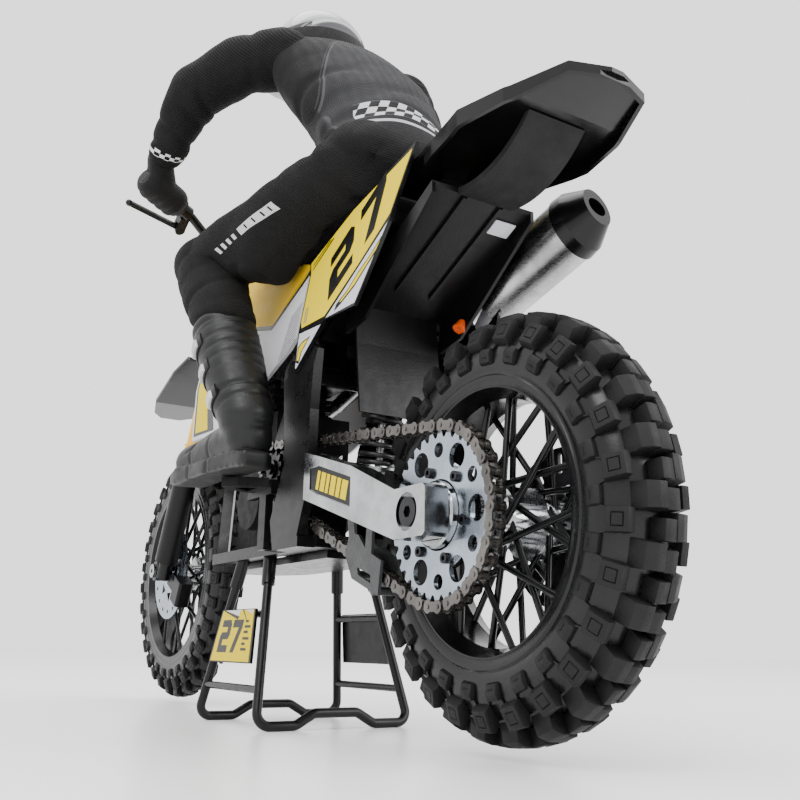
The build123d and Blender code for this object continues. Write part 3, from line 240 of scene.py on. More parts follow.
for node_name, node in NODES.items():
    dress(node, MATERIALS[SLOT_OF[node_name]])
plastic("cast_black", (0.018, 0.018, 0.019), rough=0.6, grain=0.5, mottle=0.4, specular=0.1)
for node_name, material_name in (("engine_case", "cast_black"), ("tail_brace", "cast_black"),
                                 ("number_panels", "gloss_black"), ("stand_plates", "black_plastic")):
    dress(NODES[node_name], MATERIALS[material_name])


# ---------------------------------------------------------------- mesh helpers
def make_piece(name, mesh, body, replaces=()):
    """Makes a mesh a piece, which rides on a body if one is named."""
    obj = bpy.data.objects.new(name, mesh)
    bpy.context.scene.collection.objects.link(obj)
    if body:
        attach(obj, body)
    if replaces:
        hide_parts(*replaces)
    return obj


def finish_mesh(name, bm, materials, body, smooth=True, replaces=()):
    """Turns a bmesh into a piece. materials are names, in the order of the faces' material numbers."""
    mesh = bpy.data.meshes.new(name)
    bm.normal_update()
    bm.to_mesh(mesh)
    bm.free()
    for material in materials:
        mesh.materials.append(MATERIALS[material])
    if smooth:
        for polygon in mesh.polygons:
            polygon.use_smooth = True
        mesh.set_sharp_from_angle(angle=math.radians(35))
    return make_piece(name, mesh, body, replaces)


def join_rings(bm, rings, closed=False):
    """Faces between each ring of vertices and the next, and from the last to the first if closed."""
    pairs = list(zip(rings, rings[1:])) + ([(rings[-1], rings[0])] if closed else [])
    faces = []
    for here, there in pairs:
        for i in range(len(here)):
            j = (i + 1) % len(here)
            faces.append(bm.faces.new((here[i], here[j], there[j], there[i])))
    return faces


# ---------------------------------------------------------------- tyres
# rows of knobs on the rear tyre: share of a pitch, (y, radius) outline, length, face that gets a sipe
KNOB_ROWS = (
    (0.00, [(14.6, 61.0), (17.1, 62.2), (17.5, 66.2), (16.6, 68.2), (14.0, 68.0)], 6.4, 1),
    (0.50, [(14.6, 69.0), (17.3, 71.6), (14.4, 79.2), (11.2, 79.0), (10.4, 74.5)], 8.2, 1),
    (0.06, [(9.8, 74.8), (9.3, 82.6), (5.4, 84.5), (2.1, 84.9), (2.3, 76.5)], 9.0, None),
    (0.12, [(2.5, 76.5), (2.2, 84.6), (-1.0, 85.0), (-3.4, 84.8), (-3.2, 76.5)], 7.4, None),
)
KNOB_FOOT = 0.9
REAR_CROWN, REAR_HALF, REAR_BEAD = 85.0, 17.0, 56.5
CARCASS = [
    (0.0, 78.2), (3.0, 78.1), (6.0, 77.5), (8.8, 76.2), (11.2, 74.4), (13.2, 71.9), (14.6, 68.8), (15.4,
                                                                                                   65.4),
    (15.6, 62.4), (15.45, 60.0), (15.0, 58.4), (14.75, 57.9), (14.95, 57.4), (15.3, 57.0), (15.3, 55.2),
    (15.0, 54.6), (14.75, 53.2), (14.3, 52.6), (13.2, 53.4), (12.6, 58.0), (10.0, 66.0), (5.0, 70.0),
]
CARCASS_STEPS = 180


def tire(name, node, body, pitches, crown, half, bead, offset):
    """A knobbed tyre: a smooth carcass with a bead ring, and rows of bevelled, siped knobs."""
    low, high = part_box(node)
    axle = (low + high) / 2
    wide, tall = half / REAR_HALF, (crown - bead) / (REAR_CROWN - REAR_BEAD)
    step = 2 * math.pi / pitches
    bm = bmesh.new()

    def at(y, r, a):
        return bm.verts.new((axle.x + r * math.cos(a) * MM, axle.y + y * MM, axle.z + r * math.sin(a) * MM))

    def scaled(outline):
        """An outline drawn for the rear tyre, as (y, radius), brought to this one's section."""
        return [(y * wide, crown - (REAR_CROWN - r) * tall) for y, r in outline]

    def knob(angle, outline, length, side, sipe):
        """A knob with a section outline that starts and ends on the carcass, swept along the tread."""
        points = scaled(outline)
        ends = []
        for share in (-0.5, 0.5):
            ring = []
            for i, (y, r) in enumerate(points):
                reach = share * (length + (KNOB_FOOT if i in (0, len(points) - 1) else 0.0))
                ring.append(at(side * y, r, angle + reach / r))
            ends.append(ring)
        first, second = ends
        bm.faces.new(first)
        bm.faces.new(list(reversed(second)))
        for i in range(len(points)):
            j = (i + 1) % len(points)
            face = bm.faces.new((first[j], first[i], second[i], second[j]))
            face.material_index = 1 if i == sipe else 0

    pitch_starts = [((k + shift) * step + offset, side) for k in range(pitches) for side,
                    shift in ((1, 0.0), (-1, 0.5))]
    for start, side in pitch_starts:
        for turn, outline, length, sipe in KNOB_ROWS:
            knob(start + turn * step, outline, length * tall, side, sipe)
    bmesh.ops.recalc_face_normals(bm, faces=bm.faces)
    bmesh.ops.bevel(bm, geom=list(bm.edges), offset=0.42 * MM, segments=2, affect="EDGES", profile=0.6,
                    clamp_overlap=True)
    tops = [f for f in bm.faces if f.material_index == 1 and f.calc_area() > (2.4 * MM) ** 2 * tall]
    for thickness, depth in ((1.25, 0.0), (0.28, -0.38), (0.26, 0.44)):
        bmesh.ops.inset_individual(bm, faces=tops, thickness=thickness * MM * tall, depth=depth * MM,
                                   use_even_offset=True)
    for face in bm.faces:
        face.material_index = 1

    half_section = scaled(CARCASS)
    section = half_section + [(-y, r) for y, r in reversed(half_section[1:])]
    rows = [[at(y, r, 2 * math.pi * k / CARCASS_STEPS) for y, r in section] for k in range(CARCASS_STEPS)]
    bmesh.ops.recalc_face_normals(bm, faces=join_rings(bm, rows, closed=True))
    # tie bars between the shoulder knobs, each twisted a little towards the crown
    (y0, r0), (y1, r1) = scaled([(15.5, 67.5), (14.0, 71.0)])
    for start, side in pitch_starts:
        for turn in (0.22, -0.22):
            foot = start + turn * step
            head = foot + math.copysign(0.02, turn)
            rings = []
            for rise, spread in ((0.5, 0.004), (-1, 0.006)):
                corners = ((y0, r0, foot - spread), (y0, r0, foot + spread), (y1, r1, head + spread),
                           (y1, r1, head - spread))
                rings.append([at(side * (y + rise), r, a) for y, r, a in corners])
            outer, inner = rings
            bar = [bm.faces.new(outer), bm.faces.new(list(reversed(inner)))] + join_rings(bm, rings)
            bmesh.ops.recalc_face_normals(bm, faces=bar)
    finish_mesh(name, bm, ["carcass", "knob"], body, replaces=(node,))


plastic("carcass", (0.0035, 0.0035, 0.0038), rough=0.26, grain=0.08, mottle=0.2, specular=0.28)
plastic("knob", (0.0085, 0.0085, 0.009), specular=0.2, rough=0.55, grain=0.5, grain_scale=1500.0, mottle=0.35)
tire("rear_tread", "rear_tire", "rear_wheel", 26, REAR_CROWN, REAR_HALF, REAR_BEAD, math.radians(-1.0))
tire("front_tread", "front_tire", "front_wheel", 30, 86.0, 11.5, 63.0, 0.0)


# ---------------------------------------------------------------- printed graphics
def drawn(x, y, z):
    """A point on the drawing board, in millimetres, as a point in the shared frame in metres."""
    return Vector(((x + BOARD_SHIFT) * MM, y * MM, z * MM))


FILM = 0.09


def artwork(name, body, place, shapes):
    """Thin printed films. shapes are (material, layer, outline), a higher layer lies over a lower one, and
    place(u, v, lift) gives a point in metres."""
    bm = bmesh.new()
    used = []
    for material, layer, outline in shapes:
        if material not in used:
            used.append(material)
        under = 0.02 + 0.05 * layer
        low = [bm.verts.new(place(u, v, under)) for u, v in outline]
        high = [bm.verts.new(place(u, v, under + FILM)) for u, v in outline]
        faces = [bm.faces.new(high), bm.faces.new(list(reversed(low)))]
        for face in faces + join_rings(bm, [low, high]):
            face.material_index = used.index(material)
    bmesh.ops.recalc_face_normals(bm, faces=bm.faces)
    finish_mesh(name, bm, used, body, smooth=False)


TWO = [(0, 1), (0.84, 1), (1, 0.86), (1, 0.53), (0.86, 0.40), (0.36, 0.40), (0.36, 0.22), (1, 0.22), (1, 0),
       (0, 0), (0, 0.50), (0.13, 0.62), (0.64, 0.62), (0.64, 0.78), (0, 0.78)]
SEVEN = [(0, 1), (1, 1), (1, 0.76), (0.60, 0), (0.22, 0), (0.62, 0.76), (0, 0.76)]


def digit(shape, corner, across, up):
    """A block digit in the cell that starts at corner and runs along across and up."""
    return [(corner[0] + across[0] * a + up[0] * b, corner[1] + across[1] * a + up[1] * b) for a, b in shape]


plastic("film_yellow", (0.66, 0.50, 0.0), rough=0.5, grain=0.02, coat=0.0, mottle=0.03, specular=0.08)
plastic("film_black", (0.003, 0.003, 0.0035), rough=0.3, grain=0.02, specular=0.2)
plastic("film_white", (0.52, 0.52, 0.56), rough=0.3, grain=0.02, mottle=0.04, specular=0.25)
plastic("film_grey", (0.17, 0.17, 0.19), rough=0.3, grain=0.02, specular=0.25)

# the plane of the number panels and shrouds: a point on it and its slope
FLANK_Y, FLANK_Z, TILT = 27.0, 263.0, 0.17
LEAN = Vector((0, 1, TILT)).normalized()
PANEL_THICK = 1.8


def on_flank(side):
    """The way to a point on the outside of a side panel."""
    def place(x, z, lift):
        point = Vector((x, FLANK_Y + TILT * (FLANK_Z - z), z)) + LEAN * (PANEL_THICK + lift)
        return drawn(point.x, side * point.y, point.z)
    return place


def side_panels(side, word):
    """The number panel's print, and the hatching and stripes on the shrouds of one side."""
    place = on_flank(side)
    front, rear = ((-104.0, 202.5), (-128.5, 219.5)) if side > 0 else ((-123.5, 216.0), (-148.0, 233.0))
    across, up = ((-19.5, 13.5), (6.0, 25.5)) if side > 0 else ((19.5, -13.5), (-3.0, 25.5))
    first, second = (front, rear) if side > 0 else (rear, front)
    shapes = [
        ("film_yellow", 0,
         [(-163.6, 260.0), (-153.2, 230.4), (-131.2, 213.6), (-103.4, 194.6), (-78.2, 195.6),
                            (-76.2, 199.5), (-75.9, 227.0), (-72.9, 234.2), (-112.8, 249.4)]),
        ("film_white", 0, [(-152.3, 226.4), (-134.0, 191.9), (-105.6, 193.0), (-131.3, 211.2)]),
        ("film_black", 1,
         [(-149.8, 220.8), (-146.6, 213.6), (-138.6, 207.4), (-131.0, 201.2), (-120.0, 196.0),
                           (-113.6, 193.6), (-114.6, 197.2), (-124.0, 201.8), (-131.4, 208.0), (-141.0,
                                                                                                213.8)]),
        ("film_yellow", 2,
         [(-148.6, 218.4), (-146.0, 214.6), (-138.2, 208.7), (-130.6, 202.4), (-119.6, 197.2),
                            (-117.6, 197.4), (-124.4, 200.9), (-131.4, 206.8), (-140.6, 212.4)]),
        ("film_white", 0, [(-101.0, 190.9), (-81.8, 172.4), (-80.8, 173.4), (-76.9, 192.7)]),
        ("film_black", 1, [(-91.6, 187.6), (-84.8, 180.6), (-84.2, 174.6), (-80.4, 176.0), (-79.4, 184.8),
                           (-83.6, 186.8)]),
        ("film_yellow", 2, [(-89.6, 186.6), (-83.9, 181.0), (-83.3, 176.2), (-81.2, 177.0), (-80.4, 184.1),
                            (-84.0, 185.9)]),
        ("film_black", 1, [(-95.0, 240.9), (-76.9, 229.6), (-76.9, 228.4), (-96.5, 240.2)]),
        ("film_black", 1, [(-91.5, 240.9), (-76.9, 232.4), (-76.9, 231.4), (-93.5, 240.8)]),
        ("film_grey", 1, [(-80.0, 206.5), (-79.0, 206.5), (-79.6, 197.5), (-80.6, 197.5)]),
        ("film_grey", 1, [(-82.0, 206.5), (-81.0, 206.5), (-81.6, 197.5), (-82.6, 197.5)]),
    ]
    for shape, corner in ((TWO, first), (SEVEN, second)):
        shapes.append(("film_black", 3, digit(shape, corner, across, up)))
    artwork("panel_print_" + word, "bike", place, shapes)
    hatch = []
    for k in range(13):
        z, end = 189.0 + 1.9 * k, -56.0 - 0.4 * k
        hatch.append(("film_grey", 0, [(-72.6, z), (-72.6, z + 0.7), (end, z - 5.0), (end, z - 5.6)]))
    hatch += [
        ("film_black", 1,
         [(-72.5, 228.6), (-36.0, 209.6), (8.0, 221.2), (8.0, 219.4), (-36.0, 207.2), (-72.5, 226.4)]),
        ("film_black", 0, [(22.0, 160.6), (56.5, 162.5), (71.5, 196.0), (73.3, 233.0), (44.0, 192.0)]),
        ("film_yellow", 1, [(33.0, 163.0), (54.5, 164.5), (69.0, 196.0), (70.5, 222.0), (50.0, 190.0)]),
        ("film_grey", 0, [(-20.0, 209.0), (-8.0, 168.0), (2.0, 166.5), (-4.0, 213.0)]),
        ("film_black", 0, [(8.0, 222.5), (43.0, 230.5), (64.0, 240.0), (68.0, 250.0), (38.0, 238.0)]),
    ]
    artwork("shroud_print_" + word, "bike", place, hatch)


def front_number():
    """The race number on a yellow field on the front plate."""
    def place(across, along, lift):
        ahead = 17.2 + lift
        return drawn(163.7 + 0.891 * ahead - 0.454 * along, across, 90 + 0.454 * ahead + 0.891 * along)

    shapes = [("film_yellow", 0, [(-10.0, 184.0), (10.0, 184.0), (21.4, 206.5), (19.5, 231.0), (11.4, 239.4),
                                  (-11.4, 239.4), (-19.5, 231.0), (-21.4, 206.5)]),
              ("film_black", 1, digit(TWO, (-15.5, 205.0), (14.0, 0), (0.8, 23.0))),
              ("film_black", 1, digit(SEVEN, (1.5, 205.0), (14.0, 0), (0.8, 23.0)))]
    artwork("front_number", "steering", place, shapes)


def stand_prints(side, word):
    """The race number and stripes on one plate of the stand, which leans inwards."""
    slope = -13.0 / 79.6
    bottom, tall = 31.0, 27.0
    low_y = 43.0 + slope * (bottom - 2.4)
    up = Vector((0, slope * tall, tall))
    out = Vector((0, 1, -slope)).normalized()

    def place(x, v, lift):
        point = Vector((x, low_y + 2.6, bottom)) + up * v + out * (1.4 + lift)
        return drawn(point.x, side * point.y, point.z)

    across, lean = (-13.0, 1.5) if side > 0 else (13.0, -1.5)
    first, second = (7.0, -8.0) if side > 0 else (-21.0, -6.0)
    shapes = [
        ("film_yellow", 0, [(8.8, 0.985), (13.4, 0.02), (-38.2, 0.02), (-32.6, 0.985)]),
        ("film_black", 1, digit(TWO, (first, 0.18), (across, 0), (-lean, 0.62))),
        ("film_black", 1, digit(SEVEN, (second, 0.18), (across, 0), (-lean, 0.62))),
        ("film_white", 1, [(5.0, 0.985), (-14.0, 0.86), (-15.6, 0.985)]),
        ("film_black", 2, [(8.4, 0.985), (6.0, 0.985), (-13.6, 0.80), (-15.0, 0.86)]),
        ("film_black", 1, [(-18.0, 0.985), (-24.5, 0.80), (-25.6, 0.80), (-19.6, 0.985)]),
        ("film_white", 1, [(-21.5, 0.985), (-31.6, 0.985), (-31.9, 0.90)]),
    ]
    for k, level in enumerate((0.22, 0.32, 0.42, 0.54, 0.64, 0.74)):
        long = (7.0, 4.5, 8.0, 5.5, 7.5, 4.0)[k]
        shapes.append(("film_black", 1, [(-25.0, level), (-25.0 - long, level), (-24.6 - long, level + 0.05),
                                         (-24.6, level + 0.05)]))
    artwork("stand_print_" + word, "stand", place, shapes)


def arm_label(side, word):
    """The label in the swingarm's recess: black with slanted yellow bars."""
    def place(x, z, lift):
        return drawn(x, side * (48.2 + lift * 3), z)

    def row(x, share):
        """A height in the recess: share 0 is its lower edge, 1 its upper."""
        low = 95.5 + (x + 150.0) * 0.3
        high = 108.6 + (x + 150.0) * 0.3133
        return low + (high - low) * share

    shapes = [("film_black", 0,
               [(-149.6, 96.0), (-120.0, 104.9), (-112.4, 108.4), (-112.4, 117.6), (-120.0, 117.5),
                                 (-149.6, 108.2)])]
    start = -147.0
    for k, (wide, gap) in enumerate(((5.0, 1.2), (3.2, 1.2), (4.4, 1.4), (2.6, 1.2), (4.0, 1.4), (2.4, 1.2))):
        a, b = start, start + wide
        shapes.append(("film_yellow", 1,
                       [(a + 1.6, row(a, 0.20)), (b + 1.6, row(b, 0.20)), (b - 0.6, row(b, 0.80)),
                                          (a - 0.6, row(a, 0.80))]))
        start = b + gap
    artwork("arm_label_" + word, "swingarm", place, shapes)


for side, word in SIDES:
    side_panels(side, word)
front_number()
for side, word in SIDES:
    stand_prints(side, word)
for side, word in SIDES:
    arm_label(side, word)


# ---------------------------------------------------------------- fabric and rubber for the rider
def cloth(name, light, dark, pitch, ribs=None, rough=0.75, prints=None, depth=0.5, sheen=0.25,
          lay="SUBTRACT"):
    """A knitted or meshed fabric: rows of small cells, or ribs along one direction, with faded high spots.
    prints adds printed shapes: it is called with the node helper and returns [(mask, colour), ...].
    lay says how x and z join in the weave, which settles the views in which its rows could show as rings."""
    tree, shader = new_material(name)
    n = Nodes(tree)
    x, y, z = n.split()
    rate = 2 * math.pi / (pitch * MM)
    if ribs:
        cross = n.sine(n.times(n.plus(x, y), rate * 0.55))
        weave = n.plus(n.sine(n.along([part * rate for part in ribs])), n.times(cross, 0.35))
    else:
        a = n.sine(n.times(n.plus(x, y, z), rate * 0.8))
        b = n.sine(n.times(n.minus(n.plus(x, z), n.times(y, 1.3)), rate * 0.8))
        c = n.sine(n.times(n.math(lay, x, z), rate * 0.8))
        weave = n.times(n.plus(n.times(a, b), c), 0.6)
    height = n.ramp(weave, -1.0, 1.0)
    worn = n.ramp(n.noise(28.0, 4.0), 0.35, 0.7)
    base = n.mix(height, dark, light)
    base = n.mix(n.times(worn, 0.35), base, tuple(c * 1.5 for c in light))
    for mask, colour in (prints(n) if prints else []):
        base = n.mix(mask, base, colour)
    n.link(base, shader.inputs["Base Color"])
    n.link(n.ramp(n.noise(150.0), 0.3, 0.7, rough * 0.9, rough * 1.08), shader.inputs["Roughness"])
    fuzz = n.bump(n.noise(2600.0, 2.0), 0.25, 0.0003)
    n.link(n.bump(height, depth, 0.0007, fuzz), shader.inputs["Normal"])
    shader.inputs["Sheen Weight"].default_value = sheen
    shader.inputs["Sheen Roughness"].default_value = 0.4
    shader.inputs["Specular IOR Level"].default_value = 0.12


def between(n, value, low, high, soft=0.15):
    """1 where a value in metres lies between two limits in mm, with a soft edge."""
    rise = n.ramp(value, (low - soft) * MM, (low + soft) * MM)
    return n.times(rise, n.ramp(value, (high - soft) * MM, (high + soft) * MM, 1.0, 0.0))


def checker(n, across, up, wide, tall):
    """1 on every other field of a checker board with fields of wide by tall mm."""
    rows = n.math("FLOOR", n.math("DIVIDE", up, tall * MM))
    columns = n.math("FLOOR", n.math("DIVIDE", across, wide * MM))
    return n.ramp(n.size_of(n.math("MODULO", n.plus(rows, columns), 2.0)), 0.4, 0.6)


def plane_of(n, origin, direction):
    """Distance along a direction from a point on the drawing board, in metres."""
    direction = Vector(direction).normalized()
    return n.minus(n.along(direction), drawn(*origin).dot(direction))


def sideways(n):
    """Distance to the left of the middle, in metres."""
    return plane_of(n, (0, 0, 0), (0, 1, 0))


SPINE = Vector((0.695, 0, 0.718))
BACK = Vector((-0.718, 0, 0.695))


def jersey_prints(n):
    """A checker band with a line over the rear hem, and light piping down both sides of the back."""
    up = plane_of(n, (-108.6, 0, 273), SPINE)
    side = sideways(n)
    back = n.ramp(plane_of(n, (-82, 0, 318), BACK), 0.000, 0.002)
    skew = n.plus(side, n.times(up, 0.5))
    band = n.times(between(n, up, 20.4, 30.6), between(n, side, -30, 30))
    checks = n.times(checker(n, skew, up, 5.2, 3.4), band, back)
    line = n.times(between(n, up, 16.2, 17.8), between(n, side, -36, 31), back)
    curve = n.minus(n.times(up, 0.30), n.times(up, up, 4.0))
    seam = n.minus(n.minus(n.size_of(side), 34.0 * MM), curve)
    piping = n.times(between(n, seam, -0.5, 0.5), back)
    second = n.times(between(n, seam, 1.3, 1.9), back)
    outer = n.ramp(seam, 0.4 * MM, 0.9 * MM)
    return [(outer, (0.007, 0.007, 0.0075)), (piping, (0.055, 0.055, 0.058)), (second, (0.03, 0.03, 0.032)),
            (checks, (0.52, 0.52, 0.53)), (line, (0.42, 0.42, 0.43))]


def sleeve_prints(n):
    """White checks round the cuff."""
    run = plane_of(n, (30, 0, 329), (0.78, 0, -0.62))
    checks = n.times(checker(n, sideways(n), run, 3.0, 2.0), between(n, run, -7.6, -3.6))
    return [(checks, (0.62, 0.62, 0.63))]


def pants_prints(n):
    """A white slanted block and a run of short bars on the outside of each thigh."""
    run = plane_of(n, (-58, 0, 251.5), (-0.953, 0, 0.303))
    rise = plane_of(n, (-58, 0, 251.5), (0.303, 0, 0.953))
    skewed = n.plus(run, n.times(rise, 0.4))
    side = n.ramp(n.size_of(sideways(n)), 40 * MM, 43 * MM)
    block = n.times(between(n, skewed, -3, 23), between(n, rise, -2.7, 2.7))
    for start in (2.0, 8.0, 14.0, 19.0):
        cut = n.times(between(n, skewed, start, start + 1.1), between(n, rise, -1.7, 1.7))
        block = n.times(block, n.minus(1.0, cut))
    bars = [n.times(between(n, skewed, start, start + 2.2), between(n, rise, -1.9, 1.9))
            for start in (-22.0, -17.5, -13.0, -8.5)]
    return [(n.times(n.plus(block, n.plus(*bars)), side), (0.50, 0.50, 0.51))]


cloth("jersey_cloth", (0.026, 0.026, 0.028), (0.006, 0.006, 0.0065), 1.35, prints=jersey_prints, sheen=0.03,
      lay="ADD")
cloth("sleeve_cloth", (0.0065, 0.0065, 0.007), (0.0018, 0.0018, 0.0018), 1.1, sheen=0.01,
      ribs=(0.62, 0.1, -0.5),
                                  prints=sleeve_prints)
cloth("pants_cloth", (0.0095, 0.009, 0.009), (0.0022, 0.0022, 0.0022), 1.1, sheen=0.01,
                                 prints=pants_prints, depth=0.7)
cloth("glove_cloth", (0.008, 0.008, 0.008), (0.004, 0.004, 0.004), 0.9, rough=0.6, sheen=0.1)


# ---------------------------------------------------------------- soft shapes
def capsule(bm, start, end, r0, r1):
    """A tapered capsule between two points on the drawing board."""
    a, b = drawn(*start), drawn(*end)
    for point, radius in ((a, r0), (b, r1)):
        bmesh.ops.create_icosphere(bm, subdivisions=3, radius=radius * MM, matrix=Matrix.Translation(point))
    run = b - a
    if run.length > 1e-6:
        turn = run.to_track_quat("Z", "Y").to_matrix().to_4x4()
        bmesh.ops.create_cone(bm, cap_ends=True, segments=32, radius1=r0 * MM, radius2=r1 * MM,
                              depth=run.length,
                              matrix=Matrix.Translation((a + b) / 2) @ turn)


def soft_form(limbs=(), nodes=(), voxel=1.2, smooth=6):
    """The skin round some capsules and CAD nodes, with its smoothed points (in metres) and its edges."""
    bm = bmesh.new()
    for start, end, r0, r1 in limbs:
        capsule(bm, start, end, r0, r1)
    for node in nodes:
        bm.from_mesh(NODES[node].data)
    rough = bpy.data.meshes.new("rough")
    bm.to_mesh(rough)
    bm.free()
    carrier = bpy.data.objects.new("rough", rough)
    bpy.context.scene.collection.objects.link(carrier)
    modifier = carrier.modifiers.new("skin", "REMESH")
    modifier.mode = "VOXEL"
    modifier.voxel_size = voxel * MM
    skin = bpy.data.meshes.new_from_object(carrier.evaluated_get(bpy.context.evaluated_depsgraph_get()))
    bpy.data.objects.remove(carrier)
    points = np.empty(len(skin.vertices) * 3)
    skin.vertices.foreach_get("co", points)
    points = points.reshape(-1, 3)
    edges = np.empty(len(skin.edges) * 2, int)
    skin.edges.foreach_get("vertices", edges)
    edges = edges.reshape(-1, 2)
    points = relaxed(points, edges, smooth)
    return skin, points, edges


def relaxed(points, edges, rounds):
    """Points moved halfway to the mean of their neighbours, some rounds over."""
    count = len(points)
    degree = np.bincount(edges.ravel(), minlength=count)[:, None].clip(1)
    for _ in range(rounds):
        total = np.zeros_like(points)
        for axis in range(3):
            total[:, axis] = (np.bincount(edges[:, 0], points[edges[:, 1], axis], count)
                              + np.bincount(edges[:, 1], points[edges[:, 0], axis], count))
        points = points + 0.5 * (total / degree - points)
    return points


def normals_of(mesh, points):
    mesh.vertices.foreach_set("co", points.ravel())
    mesh.update()
    normals = np.empty(len(points) * 3)
    mesh.vertex_normals.foreach_get("vector", normals)
    return normals.reshape(-1, 3)


def on_board(points):
    """Points in metres as drawing-board millimetres."""
    return points / MM - np.array([BOARD_SHIFT, 0, 0])


def limb_place(board, path):
    """How far along a path (mm) each point lies, and its unit direction away from it."""
    path = np.array(path, float)
    best = np.full(len(board), 1e9)
    along = np.zeros(len(board))
    away = np.zeros_like(board)
    start = 0.0
    for a, b in zip(path, path[1:]):
        run = b - a
        length = np.linalg.norm(run)
        t = np.clip((board - a) @ run / length ** 2, 0, 1)
        offset = board - (a + t[:, None] * run)
        distance = np.linalg.norm(offset, axis=1)
        closer = distance < best
        best = np.where(closer, distance, best)
        along = np.where(closer, start + t * length, along)
        away = np.where(closer[:, None], offset, away)
        start += length
    return along, away / np.maximum(np.linalg.norm(away, axis=1), 1e-6)[:, None]


def ridge(phase):
    """Soft-topped ridges with narrow valleys between them, about 0 on average."""
    return 1.0 - 1.7 * np.exp(-((np.mod(phase / (2 * np.pi), 1.0) - 0.5) / 0.17) ** 2) - 0.35


def near(value, centre, width):
    """A bell: 1 at the centre and fading out over the width."""
    return np.exp(-((value - centre) / width) ** 2)


def clothed(name, form, push, material, body, replaces, settle=None):
    """Pushes a soft form's skin out by push(board points, normals) in mm and makes it a piece.
    settle, if there is one, moves the board points first."""
    skin, points, edges = form
    if settle:
        points = (settle(on_board(points)) + np.array([BOARD_SHIFT, 0, 0])) * MM
    normals = normals_of(skin, points)
    points = points + normals * (push(on_board(points), normals) * MM)[:, None]
    points = relaxed(points, edges, 1)
    skin.vertices.foreach_set("co", points.ravel())
    skin.update()
    skin.materials.clear()
    skin.materials.append(MATERIALS[material])
    skin.polygons.foreach_set("use_smooth", [True] * len(skin.polygons))
    skin.name = name
    return make_piece(name, skin, body, replaces)


# ---------------------------------------------------------------- the rider's clothes
def leg_path(side):
    """Hip, knee and shin on the drawing board, and the length of the thigh."""
    hip, knee, shin = (-104, side * 26, 278), (-4, side * 66, 250), (-34, side * 65, 206)
    return [hip, knee, shin], np.linalg.norm(np.subtract(knee, hip))


def pants_push(board, normals):
    """Folds across the knee, the hip, the thigh and the top of the boot."""
    push = np.full(len(board), 0.3)
    for side in (1, -1):
        path, thigh = leg_path(side)
        along, away = limb_place(board, path)
        mine = (np.sign(board[:, 1]) == side)
        under = np.clip(-away[:, 2], 0, 1)
        behind = np.clip(-away[:, 0], 0, 1)
        turn = np.arctan2(away[:, 2], away[:, 1] * side)
        knee_back = near(along, thigh + 2, 17) * np.clip(0.25 + under + behind, 0, 1)
        fold = 1.3 * ridge((along - thigh) * 0.42 + 0.9 * turn) * knee_back
        fold += 1.0 * ridge(along * 0.26 - 1.5 * turn + 0.4) * near(along, 16, 24)
        fold += 0.55 * np.sin(along * 0.15 + 2.0 * turn + side)
        fold += 0.35 * ridge(along * 0.17 + 1.2 * turn + 2.0) * near(along, 58, 26)
        fold += 0.9 * ridge(along * 0.40 + 0.5 * turn) * near(along, thigh + 38, 12)
        push = push + np.where(mine, fold, 0)
    return push


def sleeve_push(side):
    """The push of one sleeve: folds at the elbow and the shoulder, and a raised cuff."""
    shoulder, elbow, wrist = (-38, side * 46, 374), (-4, side * 82, 355), (25, side * 87, 328)

    def push(board, normals):
        along, away = limb_place(board, [shoulder, elbow, wrist])
        bend = np.linalg.norm(np.subtract(elbow, shoulder))
        turn = np.arctan2(away[:, 2], away[:, 1] * side)
        inner = np.clip(0.35 - away[:, 2], 0, 1)
        fold = 1.25 * ridge((along - bend) * 0.40 + 0.8 * turn) * near(along, bend + 2, 15) * inner
        fold += 0.8 * ridge(along * 0.30 + 1.2 * turn) * near(along, 10, 14)
        fold += 0.8 * ridge(along * 0.45 + 0.9 * turn + 1.0) * near(along, bend + 30, 12)
        fold += 0.35 * np.sin(along * 0.22 + 2 * turn)
        cuff = 0.7 * near(along, bend + 43.5, 2.0)
        return fold + cuff + 0.2
    return push


